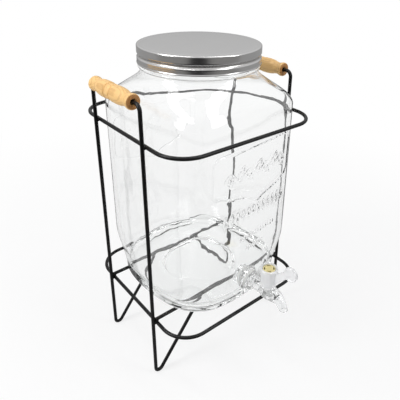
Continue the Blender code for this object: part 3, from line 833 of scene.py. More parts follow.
def inner_rings():
    rim = [(0.001, 0.0), (0.0004, 0.0002), (0.0001, 0.0006), (0.0, 0.0012)]
    rings = [(mouth_radius + r, mouth_radius + r, rim_height - z) for r, z in rim]
    rings += [(mouth_radius, mouth_radius, z) for z in (rim_height - 0.008, rim_height - 0.016, neck_height)]
    for i in range(inner_shoulder_rows - 1, -1, -1):
        share = i / inner_shoulder_rows
        rings.append((*shoulder_at(share, glass_wall), shoulder_start + shoulder_height * share))
    for z in body_heights(glass_floor + inner_heel_height + 0.001, shoulder_start - 0.001, inner_step)[::-1]:
        rings.append((inner_half, corner_at(z) - glass_wall, z))
    for i in range(10, -1, -1):
        angle = i / 10 * math.pi / 2
        half = inner_half - inner_heel_draw * (1 - math.sin(angle))
        height = glass_floor + inner_heel_height * (1 - math.cos(angle))
        rings.append((half, min(half * foot_roundness, corner_at(height) - glass_wall), height))
    rings += [(r, r, glass_floor) for r in (0.060, 0.045, 0.030, 0.015, 0.002)]
    return rings


outside = outer_rings()
inside = inner_rings()
print("rows outside and inside:", len(outside), len(inside))

# %% [markdown]
# The mould pressed a raised frame and an ornament into the front and the rear face. Here it is a plain one:
# a running vine with leaves inside the frame, a row of lozenges below it, and two rows of small beads.
# The rear face has the banner and its vine alone, and lower.
# Each is a set of lines, and a point's height is a smooth ridge of its distance to the nearest line.

# %% Lines of the pressed pattern, in metres from the middle of a face and above the jar's foot
frame_height = 0.0010
frame_width = 0.0015
vine_height = 0.00075
vine_width = 0.0012
vine_swing = 0.0052
vine_waves = 3.5
curl_radius = 0.0036
lozenge_pitch = 0.0094
lozenge_half = 0.0034
lozenge_bar = 0.003
face_shares = (0.0, 0.6, 0.0, 1.0)
rear_face = 1
rear_pattern_low = 0.1386


def arc_2d(middle, radius, start, stop, steps=8):
    angles = np.radians(np.linspace(start, stop, steps + 1))
    return [(middle[0] + radius * math.cos(a), middle[1] + radius * math.sin(a)) for a in angles]


def frame_line():
    """A banner: round upper corners and a foot that dips to a point."""
    left, right, top = -0.0625, 0.0675, 0.2147
    corner, foot_corner = 0.010, 0.011
    line = arc_2d((left + corner, top - corner), corner, 90, 180)
    line += arc_2d((left + foot_corner, 0.1735), foot_corner, 180, 262)
    line += [(-0.036, 0.1578), (-0.016, 0.1530), (-0.004, 0.1468), (0.0075, 0.1403)]
    line += [(0.019, 0.1452), (0.034, 0.1485), (0.047, 0.1515)]
    line += arc_2d((right - foot_corner, 0.1672), foot_corner, 285, 360)
    line += arc_2d((right - corner, top - corner), corner, 0, 90)
    return line + [line[0]]


def vine_lines():
    """A running stem in soft waves, with a leaf or a curl in each wave."""
    low, high, left, right = 0.1715, 0.1965, -0.046, 0.058
    middle = (low + high) / 2
    xs = np.linspace(left, right, 90)
    turn = (xs - left) / (right - left) * vine_waves * math.tau
    lines = [list(zip(xs, middle + vine_swing * np.sin(turn)))]
    for i in range(int(vine_waves * 2)):
        x = left + (right - left) * (i + 0.5) / (vine_waves * 2)
        side = 1 if i % 2 else -1
        root = (x, middle - side * vine_swing)
        curl = arc_2d((x + 0.0008, middle + side * 0.0012), curl_radius, -side * 90, side * 190, 10)
        lines.append([root, *curl])
        leaf_tip = (x + 0.0068, middle + side * 0.0118)
        bend_a = (x + 0.0005, middle + side * 0.0088)
        bend_b = (x + 0.0066, middle + side * 0.0056)
        foot = (x + 0.0018, middle + side * 0.0046)
        lines.append([foot, bend_a, leaf_tip, bend_b, foot])
    return lines


def lozenge_lines():
    low, high = 0.1215, 0.1372
    middle = (low + high) / 2
    lines = []
    for x in np.arange(-0.044, 0.0595, lozenge_pitch):
        left, right = (x - lozenge_half, middle), (x + lozenge_half, middle)
        lines.append([left, (x, high), right, (x, low), left])
        lines.append([(x, middle - lozenge_bar), (x, middle + lozenge_bar)])
    return lines


def bead_lines():
    rows = [(-0.0175, 0.0455, 0.0948, 0.0052), (-0.006, 0.0262, 0.0776, 0.0046)]
    lines = []
    for left, right, height, pitch in rows:
        for i, x in enumerate(np.arange(left, right, pitch)):
            reach = 0.0026 if i % 2 else 0.0012
            lines.append([(x, height - reach), (x + 0.0004, height + reach)])
    return lines


def ridge(xs, zs, lines, width, height):
    """The height of smooth ridges along lines, at every pair of a sideways place and a height."""
    across, up = np.meshgrid(xs, zs)
    nearest = np.full(across.shape, 1.0)
    for line in lines:
        for (ax, az), (bx, bz) in zip(line, line[1:]):
            dx, dz = bx - ax, bz - az
            span = max(dx * dx + dz * dz, 1e-12)
            share = np.clip(((across - ax) * dx + (up - az) * dz) / span, 0, 1)
            nearest = np.minimum(nearest, np.hypot(across - ax - dx * share, up - az - dz * share))
    return height * (1 - np.clip(nearest / width, 0, 1) ** 2) ** 2


# %% Raise the pattern on the front and the rear face
def pattern_of(heights):
    """How far each point of the outside is raised, for rows of heights and all the columns."""
    outward, sideways = quarter_curve(shares, jar_half, jar_corner)
    raised = np.zeros((len(heights), columns))
    inside_rows = [i for i, z in enumerate(heights) if pattern_low < z < pattern_high + 0.001]
    rows = np.array(heights)[inside_rows]
    half_count = quarter_columns // 2 + 1
    places = np.concatenate([sideways[:half_count], -outward[half_count:]])
    order = np.argsort(places)
    face = ridge(places[order], rows, [frame_line()], frame_width, frame_height)
    for lines in (vine_lines(), lozenge_lines(), bead_lines()):
        face = np.maximum(face, ridge(places[order], rows, lines, vine_width, vine_height))
    back_in_order = np.zeros_like(face)
    back_in_order[:, order] = face
    for number, share in enumerate(face_shares):
        depth = back_in_order * share
        if number == rear_face:
            depth = depth * (rows > rear_pattern_low)[:, None]
        # A face is the first half of its own quarter and the last half of the quarter before it.
        own = number * quarter_columns
        before = (number - 1) % 4 * quarter_columns
        first_half = range(own, own + half_count)
        last_half = range(before + half_count, before + quarter_columns)
        raised[np.ix_(inside_rows, first_half)] = depth[:, :half_count]
        raised[np.ix_(inside_rows, last_half)] = depth[:, half_count:]
    return raised


def slow_waves(points, seed, depth, shortest, longest, count=14):
    """Smooth waves over points in space, always the same for a seed."""
    draw = np.random.default_rng(seed)
    total = np.zeros(points.shape[:-1])
    for _ in range(count):
        direction = draw.normal(size=3)
        direction /= np.linalg.norm(direction)
        length = draw.uniform(shortest, longest)
        total += np.sin(points @ direction * math.tau / length + draw.uniform(0, math.tau)) * length / longest
    return total * depth / math.sqrt(count / 2)


def ring_points(rings):
    """Points and outward directions of every ring."""
    points = np.zeros((len(rings), columns, 3))
    outward = np.zeros((len(rings), columns, 3))
    for i, (half, corner, height) in enumerate(rings):
        ring = ring_of(half, corner)
        points[i, :, :2] = ring
        points[i, :, 2] = height
        run = np.roll(ring, -1, axis=0) - np.roll(ring, 1, axis=0)
        run /= np.linalg.norm(run, axis=1)[:, None]
        outward[i, :, 0] = run[:, 1]
        outward[i, :, 1] = -run[:, 0]
    return points, outward


outer_points, outer_ways = ring_points(outside)
inner_points, inner_ways = ring_points(inside)
raised = pattern_of([ring[2] for ring in outside])
print("raised points:", int((raised > 0.00005).sum()))

# %% [markdown]
# The neck has a screw thread of a little over one turn, and its ends fade out.
# The body's outside is nearly true, because the mould's steel shapes it. The inside is only as smooth
# as the plunger left it, so its waves are several times deeper.

# %% Thread and waves
thread_pitch = 0.006
thread_turns = 1.15
thread_depth = 0.0016
thread_half = 0.0022
thread_middle = 0.0076
outer_wave = 0.00005
inner_wave = 0.00015
small_wave = 0.00001


def add_thread(points, ways, rings):
    rows = [i for i, ring in enumerate(rings) if bead_top < ring[2] < rim_height - 0.001]
    part = points[rows]
    angle = np.mod(np.arctan2(part[..., 1], part[..., 0]), math.tau)
    for turn in range(2):
        share = (angle + turn * math.tau) / (thread_turns * math.tau)
        middle = bead_top + thread_middle + thread_pitch * thread_turns * (share - 0.5)
        fade = smoothstep(np.minimum(share, 1 - share) / 0.08)
        away = np.abs(part[..., 2] - middle) / thread_half
        crest = thread_depth * fade * (1 - np.clip(away, 0, 1) ** 2) ** 1.5
        points[rows] += ways[rows] * crest[..., None]


def fade_rows(rings, low, high):
    """One between two heights, and nothing near the foot and the neck."""
    height = np.array([ring[2] for ring in rings])
    rise = smoothstep((height - low) / 0.02)
    fall = smoothstep((high - height) / 0.03)
    return (rise * fall)[:, None]


add_thread(outer_points, outer_ways, outside)
outer_swell = slow_waves(outer_points, 5, outer_wave, 0.02, 0.06) * fade_rows(outside, 0.01, neck_height)
outer_points += outer_ways * (outer_swell - outer_wave + raised)[..., None]
inner_swell = slow_waves(inner_points, 11, inner_wave, 0.018, 0.060)
inner_swell += slow_waves(inner_points, 23, small_wave, 0.007, 0.013)
inner_swell *= fade_rows(inside, 0.045, neck_height)
inner_points += inner_ways * inner_swell[..., None]
print("deepest wave inside:", round(float(np.abs(inner_swell).max()) * 1000, 2), "mm")

# %% [markdown]
# The tap sits in a thickened hole near the foot. The grid is pulled so that one square of its lines
# becomes the round edge of the hole, and the squares around it ease back to the grid.
# The squares inside are left out, and a short tube joins the outer edge to the inner one.

# %% Thickened hole for the tap
front_column = 3 * quarter_columns
ease_span = 2.0


def tap_row(rings):
    return next(i for i, ring in enumerate(rings) if abs(ring[2] - tap_height) < 1e-7)


def hole_columns(points, row):
    """How many columns lie within the hole's radius of the middle of the front face."""
    reach = np.abs(points[row, :, 0])
    count = 1
    while reach[(front_column + count) % columns] < hole_radius * 0.95:
        count += 1
    return count


def open_hole(points, row, wide, face_depth, inset):
    """Pulls the grid round the hole and presses the pad into it; gives the squares to leave out."""
    old = points.copy()
    tall = tap_rows
    reach = int(wide * (1 + ease_span))
    reach_rows = 2 * tap_rows
    for j in range(-reach_rows, reach_rows + 1):
        for i in range(-reach, reach + 1):
            square = max(abs(i) / wide, abs(j) / tall)
            if square < 0.999:
                continue
            column = (front_column + i) % columns
            here = old[row + j, column]
            way = Vector((i / wide, j / tall)).normalized()
            ease = float(smoothstep((square - 1) / (0.95 if square <= 2 else 1.0)))
            x = way.x * hole_radius * square * (1 - ease) + here[0] * ease
            z = tap_height + (way.y * hole_radius * square * (1 - ease) + (here[2] - tap_height) * ease)
            points[row + j, column] = (x, here[1], z)
    for j in range(-reach_rows, reach_rows + 1):
        for i in range(-reach, reach + 1):
            column = (front_column + i) % columns
            x, y, z = points[row + j, column]
            level = surface_y(x, z, inset)
            away = math.hypot(x, z - tap_height)
            pad = float(smoothstep((pad_radius + 0.0004 - away) / pad_fade))
            points[row + j, column, 1] = level * (1 - pad) + face_depth * pad
    return {(row + j, (front_column + i) % columns) for j in range(-tall, tall) for i in range(-wide, wide)}


def surface_y(x, z, inset):
    """The front wall's y at a place across it and a height."""
    table = np.linspace(0, 0.3, 40)
    outward, sideways = quarter_curve(table, jar_half - inset, corner_at(z) - inset)
    return -float(np.interp(abs(x), sideways, outward))


outer_row = tap_row(outside)
inner_row = tap_row(inside)
hole_wide = hole_columns(outer_points, outer_row)
# The inside runs from the rim down, so its rows are turned over while the hole is opened.
flipped = inner_points[::-1].copy()
flipped_row = len(inside) - 1 - inner_row
pad_front = -(jar_half + pad_outer)
outer_gap = open_hole(outer_points, outer_row, hole_wide, pad_front, 0.0)
inner_gap = open_hole(flipped, flipped_row, hole_wide, pad_front + pad_depth, glass_wall)
inner_points = flipped[::-1].copy()
print("hole:", hole_wide, "columns wide on each side,", len(outer_gap), "squares left out")

# %% Join the outside, the inside and the hole into one body of glass
def hole_loop(row, up, start):
    """Point numbers round the hole, anticlockwise from the front, for a grid whose rows go up or down."""
    loop = [(i, -tap_rows) for i in range(-hole_wide, hole_wide)]
    loop += [(hole_wide, j) for j in range(-tap_rows, tap_rows)]
    loop += [(-i, -j) for i, j in loop]
    return [start + (row + j * up) * columns + (front_column + i) % columns for i, j in loop]


def glass_faces():
    outer_count = len(outside)
    inner_start = outer_count * columns
    faces = []
    for number, quad in enumerate(grid_faces(outer_count, columns)):
        if (number // columns, number % columns) not in outer_gap:
            faces.append(quad)
    low_gap = {(len(inside) - 2 - row, column) for row, column in inner_gap}
    for number, quad in enumerate(grid_faces(len(inside), columns, inner_start)):
        if (number // columns, number % columns) not in low_gap:
            faces.append(quad)
    last = (outer_count - 1) * columns
    for i in range(columns):
        j = (i + 1) % columns
        faces.append([last + i, last + j, inner_start + j, inner_start + i])
    faces.append(list(range(columns))[::-1])
    foot = inner_start + (len(inside) - 1) * columns
    faces.append([foot + i for i in range(columns)])
    outer_loop = hole_loop(outer_row, 1, 0)
    inner_loop = hole_loop(inner_row, -1, inner_start)
    for i in range(len(outer_loop)):
        j = (i + 1) % len(outer_loop)
        faces.append([outer_loop[i], outer_loop[j], inner_loop[j], inner_loop[i]])
    return faces


glass = clear_finish("pressed_glass", colour(0.983, 0.986, 0.985), colour(0.950, 0.960, 0.957),
                     jar_foot, jar_foot + 0.03, 1.5, 55.0, 0.0, 0.0002)


def jar():
    """The glass, turned a little about its axis, as it stands in the photograph."""
    points = np.concatenate([outer_points.reshape(-1, 3), inner_points.reshape(-1, 3)])
    turn = np.array(jar_place.to_3x3())
    points = points @ turn.T + np.array(jar_place.translation)
    return as_piece("jar_pressed_glass", points, glass_faces(), "jar", glass, ["jar_glass"],
                    math.radians(50))


jar()

# %% [markdown]
# The lid is one stamping. Its top edge is rounded, its band has a rolled groove, and its foot is curled
# into a hem. Fine slanted teeth above the hem give the fingers a hold. The sheet keeps its real thickness.

# %% Lid
lid_steps = 480
lid_teeth = 160
teeth_depth = 0.00022
teeth_slant = 2600.0
lid_sheet = 0.0008
lid_edge = 0.0014
groove_drop = 0.0093
groove_span = 0.0046
groove_depth = 0.0017
groove_rows = 16
hem_radius = 0.0007
hem_proud = 0.00035


def groove_outline(radius, top):
    """The rolled groove, from its upper edge down."""
    shares = [i / groove_rows for i in range(1, groove_rows)]
    return [(radius - groove_depth * math.sin(math.pi * s) ** 0.8, top - groove_span * s) for s in shares]


def lid():
    low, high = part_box("lid_shell")
    top = high.z
    foot = low.z
    radius = (high.x - low.x) / 2 - hem_proud
    bore = radius - lid_sheet
    groove_top = top - groove_drop
    groove_foot = groove_top - groove_span
    outer = [(0.0006, top), (0.02, top), (0.045, top), (0.062, top), (0.0668, top), (0.0679, top - 0.00004),
             (0.0684, top - 0.0001), (0.0689, top - 0.00004), (0.0703, top)]
    outer += [(radius - lid_edge * (1 - math.sin(a)), top - lid_edge * (1 - math.cos(a)))
              for a in np.linspace(0.15, math.pi / 2, 8)]
    outer += [(radius, top - z) for z in (0.0025, 0.0042, 0.0060, 0.0076, 0.0087)]
    outer += groove_outline(radius, groove_top)
    outer += [(radius, groove_foot - 0.0002), (radius, groove_foot - 0.0006)]
    outer += [(radius, z) for z in np.linspace(groove_foot - 0.0012, foot + 0.0017, 12)]
    outer += [(radius + hem_proud * math.sin(a), foot + hem_radius + hem_radius * math.cos(a))
              for a in np.linspace(0.2, math.pi, 8)]
    inner = [(bore, foot + 0.0004), (bore, foot + 0.002), (bore, groove_foot - 0.0005)]
    inner += groove_outline(bore, groove_top)[::-1]
    inner += [(bore, groove_top + 0.0004), (bore, top - 0.0018), (radius - 0.0018, top - lid_sheet),
              (0.0006, top - lid_sheet)]

    def teeth(r, z, angles):
        fade = 0.0006
        on = smoothstep((groove_foot - 0.0008 - z) / fade) * smoothstep((z - foot - 0.0016) / fade)
        skin = (r > radius - 0.0003) & (r < radius + 0.0001)
        wave = np.cos(lid_teeth * angles + teeth_slant * (z - foot))
        return on * skin * teeth_depth * (wave - 1) / 2

    points, faces = turned_form(outer + inner, lid_steps, teeth)
    last = len(points) - lid_steps
    faces.append(list(range(lid_steps)))
    faces.append([last + i for i in range(lid_steps)][::-1])
    # The small wall that a closed outline leaves at the axis goes.
    faces = [f for f in faces if len(f) > 4 or min(f) >= lid_steps or max(f) < last]
    points += np.array((lid_axis.x, lid_axis.y, 0.0))
    steel = brushed_steel((lid_axis.x, lid_axis.y), top)
    return as_piece("lid_stamped_steel", points, faces, "lid", steel, ["lid_shell"],
                    math.radians(40))


lid()

# %% [markdown]
# The tap is clear plastic moulded in one: a shank through the glass, a flange, a chamber and a spout.
# Moulded corners are never sharp. So finely turned forms are joined and melted together in tiny voxels,
# Booleans cut the bores, and it is melted again and smoothed, which leaves a small fillet at every join.

# %% Helpers for the tap
tap_cross = Vector((middle_of("tap_core").x, middle_of("tap_core").y, middle_of("tap_outer_washer").z))
tap_place = Matrix.Translation(tap_cross) @ Matrix.Rotation(jar_turn, 4, "Z")
inlet_turn = Matrix.Rotation(-math.pi / 2, 4, "X")
tap_steps = 72
voxel = 0.0004
merge_distance = 0.000005


def tap_form(name, points, faces, place):
    """A helper solid in the tap's own frame."""
    mesh = bpy.data.meshes.new(name)
    mesh.from_pydata([tuple(place @ Vector(p)) for p in points], [], faces)
    build = bmesh.new()
    build.from_mesh(mesh)
    bmesh.ops.remove_doubles(build, verts=build.verts, dist=merge_distance)
    bmesh.ops.dissolve_degenerate(build, dist=merge_distance, edges=build.edges)
    bmesh.ops.recalc_face_normals(build, faces=build.faces)
    build.to_mesh(mesh)
    build.free()
    made = bpy.data.objects.new(name, mesh)
    bpy.context.scene.collection.objects.link(made)
    return made


def turned_tap(name, outline, place=Matrix.Identity(4), steps=tap_steps):
    return tap_form(name, *turned_form(outline, steps), place)


def slab_tap(name, outline, thickness, place, rounding):
    """A flat outline with a thickness about z = 0 and soft edges."""
    rings = []
    for k in range(9):
        angle = (k / 8 - 0.5) * math.pi
        level = (thickness / 2 - rounding) * float(np.sign(angle))
        rings.append((rounding * (1 - math.cos(angle)), level + rounding * math.sin(angle)))
    points, count = [], len(outline)
    for inset, rise in rings:
        points += [(x, y, rise) for x, y in shrunk(outline, inset)]
    faces = grid_faces(len(rings), count)
    faces.append(list(range(count))[::-1])
    faces.append([(len(rings) - 1) * count + i for i in range(count)])
    return tap_form(name, points, faces, place)


def shrunk(outline, inset):
    """An outline moved inward along its own normals."""
    made = []
    for i, point in enumerate(outline):
        run = Vector(outline[(i + 1) % len(outline)]) - Vector(outline[i - 1])
        run.normalize()
        made.append((point[0] - run.y * inset, point[1] + run.x * inset))
    return made


def add_melt(base, size):
    """Melts overlapping forms into one skin of tiny voxels."""
    remesh = base.modifiers.new("melt", "REMESH")
    remesh.mode = "VOXEL"
    remesh.voxel_size = size
    remesh.use_smooth_shade = True


def put_together(name, base, steps, smoothing, melt=voxel):
    """Joins forms and melts them together, cuts with Booleans, melts again and smooths: one mesh object."""
    joined = [other for other, operation in steps if operation == "JOIN"]
    cutters = [other for other, operation in steps if operation == "DIFFERENCE"]
    for other in joined:
        together = bmesh.new()
        together.from_mesh(base.data)
        together.from_mesh(other.data)
        together.to_mesh(base.data)
        together.free()
    if joined and cutters:
        add_melt(base, melt)
    for other in cutters:
        step = base.modifiers.new(other.name, "BOOLEAN")
        step.object = other
        step.operation = "DIFFERENCE"
        step.solver = "EXACT"
    if melt:
        add_melt(base, melt)
        ease = base.modifiers.new("ease", "SMOOTH")
        ease.factor = 0.5
        ease.iterations = smoothing
    bpy.context.view_layer.update()
    ready = base.evaluated_get(bpy.context.evaluated_depsgraph_get())
    mesh = bpy.data.meshes.new_from_object(ready)
    mesh.name = name
    for other, _ in steps:
        bpy.data.objects.remove(other, do_unlink=True)
    bpy.data.objects.remove(base, do_unlink=True)
    made = bpy.data.objects.new(name, mesh)
    made.data.transform(tap_place)
    bpy.context.scene.collection.objects.link(made)
    return made


# %% [markdown]
# The spout leaves the chamber level, swells a little, then bends down to a narrow mouth.
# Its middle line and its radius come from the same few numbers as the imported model's.

# %% Body of the tap
seam_height = 0.0088
socket_radius = 0.0063
chamber_radius = 0.0106
chamber_foot = 0.0098
neck_tube_radius = 0.0082
sleeve_foot_radius = 0.0095
sleeve_height = 0.0263
core_head_recess = 0.001
core_head_thickness = 0.004
head_top = seam_height + sleeve_height - core_head_recess
neck_tube_top = head_top - core_head_thickness - fit_gap
flange_front = 0.0234
flange_back = 0.0269
flange_radius = 0.013
shank_radius = 0.0077
plastic_index = 1.49
shank_end = 0.0516
shank_bore = 0.0045
shank_thread = 0.00035
spout_lip = 0.00035
spout_reach = 0.0266
spout_drop = 0.0128
spout_root = 0.0097
spout_tip = 0.0051
spout_wall = 0.0019
core_floor = 0.0075


def spout_line(parts):
    """Middle points and radii of the spout, in the tap's frame."""
    forward = (0, 0.158, 0.459, 0.726, 0.955, 1)
    down = (0, 0.013, 0.02, 0.221, 0.799, 1)
    width = (0.96, 1, 0.78, 0.33, 0.04, 0)
    root = seam_height - fit_gap - spout_root
    knots = [(-spout_reach * f, root - spout_drop * d) for f, d in zip(forward, down)]
    line = smooth_outline(knots, parts)
    taper = spout_root - spout_tip
    radii = [r for r, _ in smooth_outline([(spout_tip + taper * w, i) for i, w in enumerate(width)], parts)]
    return line, radii


def horn(name, line, radii, steps=48):
    """A round form along a line in the y-z plane, with a changing radius."""
    line = np.array(line)
    run = np.gradient(line, axis=0)
    run /= np.linalg.norm(run, axis=1)[:, None]
    points = []
    for (y, z), (ry, rz), radius in zip(line, run, radii):
        for k in range(steps):
            a = math.tau * k / steps
            side, up = radius * math.cos(a), radius * math.sin(a)
            points.append((side, y - rz * up, z + ry * up))
    faces = grid_faces(len(line), steps)
    faces.append(list(range(steps))[::-1])
    faces.append([(len(line) - 1) * steps + i for i in range(steps)])
    return tap_form(name, points, faces, Matrix.Identity(4))


def tap_body():
    chamber = [(0, -chamber_foot), (0.0030, -chamber_foot * 0.985), (0.0066, -chamber_foot * 0.86),
               (0.0088, -chamber_foot * 0.62), (0.0101, -chamber_foot * 0.3), (chamber_radius, 0),
               (0.0103, seam_height * 0.55), (sleeve_foot_radius, seam_height),
               (neck_tube_radius, seam_height), (neck_tube_radius, neck_tube_top), (0, neck_tube_top)]
    base = turned_tap("tap_chamber", chamber)
    shank = [(0, 0), (seam_height - fit_gap, 0), (0.0082, flange_front - 0.002),
             (0.0092, flange_front - 0.0006)]
    shank += rounded([(0.0100, flange_front), (flange_radius, flange_front), (flange_radius, flange_back),
                      (shank_radius, flange_back)], [0, 0.0009, 0.0005, 0])
    turns = np.linspace(flange_back + 0.0125, shank_end - 0.0012, 26)
    shank += [(shank_radius - (shank_thread if k % 2 else 0.0), z) for k, z in enumerate(turns)]
    shank += [(shank_radius - 0.0008, shank_end), (0, shank_end)]
    steps = [(turned_tap("tap_shank", shank, inlet_turn), "JOIN")]
    line, radii = spout_line(8)
    steps.append((horn("tap_spout", line, radii), "JOIN"))
    lip = [(line[-1][0], line[-1][1] + 0.0011), (line[-1][0], line[-1][1] + 0.0004), line[-1]]
    lip_radii = [spout_tip, spout_tip + spout_lip, spout_tip + 0.0001]
    steps.append((horn("tap_spout_lip", lip, lip_radii), "JOIN"))
    top = seam_height + sleeve_height
    socket = [(0, -core_floor), (socket_radius, -core_floor), (socket_radius, top), (0, top)]
    steps.append((turned_tap("tap_socket", socket), "DIFFERENCE"))
    deep = shank_end + 0.002
    bore = [(0, 0), (shank_bore, 0), (shank_bore, deep), (0, deep)]
    steps.append((turned_tap("tap_inlet_bore", bore, inlet_turn), "DIFFERENCE"))
    start = next(i for i, point in enumerate(line) if -point[0] > socket_radius / 2)
    end = np.array(line[-1]) + (np.array(line[-1]) - np.array(line[-2])) * 3
    channel = list(line[start:]) + [tuple(end)]
    widths = [min(r - spout_wall, socket_radius - fit_gap) for r in radii[start:]]
    steps.append((horn("tap_spout_bore", channel, widths + [widths[-1]]), "DIFFERENCE"))
    made = put_together("tap_moulded_body", base, steps, 10)
    return dress(made, "jar", clear_plastic, ["tap_body"])


clear_plastic = clear_finish("tap_plastic", colour(0.975, 0.978, 0.98), colour(0.955, 0.96, 0.962),
                             tap_cross.z - 0.016, tap_cross.z + 0.03, plastic_index, 140.0, 0.004, 0.00002)
tap_body()

# %% [markdown]
# The handle is a sleeve over the neck of the body, with a wing that rises forward to a round thumb disc.
# The wing is thin in its web and thicker at the disc, whose faces are a little dished.

# %% Handle of the tap
sleeve_bore = 0.0085
sleeve_top_radius = 0.0112
wing_thickness = 0.0036
disc_radius = 0.0091
disc_thickness = 0.005
disc_forward = 0.0318
disc_height = 0.0434
wing_neck = 0.0092


def wing_outline():
    foot = seam_height + fit_gap
    top = seam_height + sleeve_height
    root = sleeve_bore + fit_gap
    low = foot + 0.0064
    disc = Vector((disc_forward, disc_height))
    lean = (disc - Vector((root, (low + top) / 2))).normalized()
    side = Vector((-lean.y, lean.x)) * wing_neck / 2
    near = disc - lean * disc_radius
    lower = smooth_outline([(root, low), (0.0135, low + 0.0034), tuple(near - side),
                            tuple(disc - side * 0.8)], 5)
    upper = smooth_outline([tuple(disc + side * 0.8), tuple(near + side), (0.0150, top + 0.0002),
                            (sleeve_top_radius + 0.0004, top - 0.0012)], 5)
    return lower + upper + [(root, top - 0.0012)]


def tap_handle():
    foot = seam_height + fit_gap
    top = seam_height + sleeve_height
    sleeve = rounded([(sleeve_bore, foot), (sleeve_foot_radius, foot), (sleeve_top_radius, top - 0.0009),
                      (sleeve_top_radius - 0.0009, top), (sleeve_bore, top)],
                     [0, 0.0003, 0.0006, 0.0004, 0.0002])
    base = turned_tap("tap_sleeve", sleeve, steps=96)
    turn = Matrix(((0, 0, 1, 0), (-1, 0, 0, 0), (0, 1, 0, 0), (0, 0, 0, 1)))
    steps = [(slab_tap("tap_wing", wing_outline(), wing_thickness, turn, 0.0008), "JOIN")]
    half = disc_thickness / 2
    thumb = [(0, -half + 0.0006), (disc_radius * 0.55, -half + 0.0003), (disc_radius * 0.82, -half)]
    thumb += rounded([(disc_radius * 0.86, -half), (disc_radius, -half), (disc_radius, half),
                      (disc_radius * 0.86, half)], [0, 0.0011, 0.0011, 0])
    thumb += [(disc_radius * 0.82, half), (disc_radius * 0.55, half - 0.0003), (0, half - 0.0006)]
    place = Matrix.Translation((0, -disc_forward, disc_height)) @ Matrix.Rotation(math.pi / 2, 4, "Y")
    steps.append((turned_tap("tap_thumb_disc", thumb, place), "JOIN"))
    made = put_together("tap_moulded_handle", base, steps, 3)
    return dress(made, "tap_valve", cloudy_plastic, ["tap_handle"])


cloudy_plastic = clear_finish("cloudy_plastic", colour(0.97, 0.97, 0.975), colour(0.96, 0.96, 0.965),
                              tap_cross.z, tap_cross.z + 0.05, plastic_index, 140.0, 0.04, 0.00002, 0.5)
tap_handle()

# %% [markdown]
# The yellow core turns with the handle. Its head shows four curved slots, where the moulding's prongs sit.
# It is small and opaque, so a Boolean with fine turned forms is enough, without a remesh.

# %% Finish of the core
core_head_radius = 0.0076
slot_radius = 0.0058
slot_width = 0.0014
slot_depth = 0.0022
slot_angle = math.radians(44)
port_radius = 0.0034
seal_half = 0.00075
seal_heights = (-0.0052, 0.0062)


def core_plastic():
    """Pale yellow at the head, milky below it, and painted shade, nearly black, down in the slots."""
    made, recipe, place = new_finish("core_plastic")
    flow = recipe.between(recipe.noise(place, 420.0, 3.0), 0.35, 0.7)
    fine = recipe.noise(place, 1900.0, 2.0)
    height = recipe.coordinate(place, "Z")
    head = tap_cross.z + head_top
    yellow = recipe.blend(flow, colour(0.78, 0.68, 0.34), colour(0.72, 0.61, 0.27))
    milky = recipe.blend(flow, colour(0.78, 0.78, 0.77), colour(0.72, 0.72, 0.71))
    body = recipe.blend(recipe.between(height, head - 0.0034, head - 0.0026), milky, yellow)
    centred = recipe.away_from(place, (tap_cross.x, tap_cross.y, 0.0))
    flat = recipe.scaled(centred, (1.0, 1.0, 0.0))
    away = recipe.length(flat)
    band = recipe.between(away, slot_radius - 0.0012, slot_radius - 0.0009)
    band = band * recipe.between(away, slot_radius + 0.0012, slot_radius + 0.0009)
    slot_shade_under_rim = recipe.between(height, head - 0.0004, head - 0.0006)
    deep = slot_shade_under_rim * recipe.between(height, head - 0.0028, head - 0.0024)
    # painted shade: the walls and floor of the slots are painted nearly black, where shade falls in them
    body = recipe.blend(band * deep, body, colour(0.03, 0.02, 0.006))
    sockets = {"Base Color": body, "Roughness": 0.32 + fine * 0.12, "Normal": recipe.bump(fine, 0.4, 0.00002)}
    return close_finish(made, recipe, sockets)


# %% Core of the tap
def core_slot(number):
    """A cutter for one curved slot of the head."""
    middle = (number + 0.5) * math.pi / 2
    turns = [middle + slot_angle * (k / 10 - 0.5) for k in range(11)]
    outer, inner = slot_radius + slot_width / 2, slot_radius - slot_width / 2
    ring = [(outer * math.cos(a), outer * math.sin(a)) for a in turns]
    ring += [(inner * math.cos(a), inner * math.sin(a)) for a in reversed(turns)]
    count = len(ring)
    points = [(x, y, head_top + rise) for rise in (-slot_depth, slot_depth) for x, y in ring]
    faces = grid_faces(2, count) + [list(range(count))[::-1], [count + i for i in range(count)]]
    return tap_form(f"core_slot_{number}", points, faces, Matrix.Identity(4))


def tap_core():
    stem = socket_radius - fit_gap
    foot = -core_floor + fit_gap
    outline = [(0, foot), (stem - 0.0005, foot), (stem, foot + 0.0005)]
    for middle in seal_heights:
        low, high = middle - seal_half - fit_gap, middle + seal_half + fit_gap
        outline += [(stem, low), (stem - 2 * seal_half, low), (stem - 2 * seal_half, high), (stem, high)]
    outline += [(stem, head_top - core_head_thickness), (core_head_radius, head_top - core_head_thickness),
                (core_head_radius, head_top - 0.0006), (core_head_radius - 0.0002, head_top - 0.0002),
                (core_head_radius - 0.0006, head_top), (0.0040, head_top), (0.0036, head_top - 0.0003),
                (0.0014, head_top - 0.0003), (0.0011, head_top - 0.0001), (0, head_top - 0.0001)]
    base = turned_tap("tap_core_stem", outline, steps=96)
    reach = socket_radius + 0.002
    port = [(0, -reach), (port_radius, -reach), (port_radius, reach), (0, reach)]
    steps = [(turned_tap("tap_core_port", port, Matrix.Rotation(math.pi / 2, 4, "Y"), 40), "DIFFERENCE")]
    steps += [(core_slot(k), "DIFFERENCE") for k in range(4)]
    made = put_together("tap_moulded_core", base, steps, 0, None)
    return dress(made, "tap_valve", core_plastic(), ["tap_core"], math.radians(32))


tap_core()

# %% [markdown]
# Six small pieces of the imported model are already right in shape: two washers, the nut, two ring seals
# and the liner. They stay, and only get their finishes.

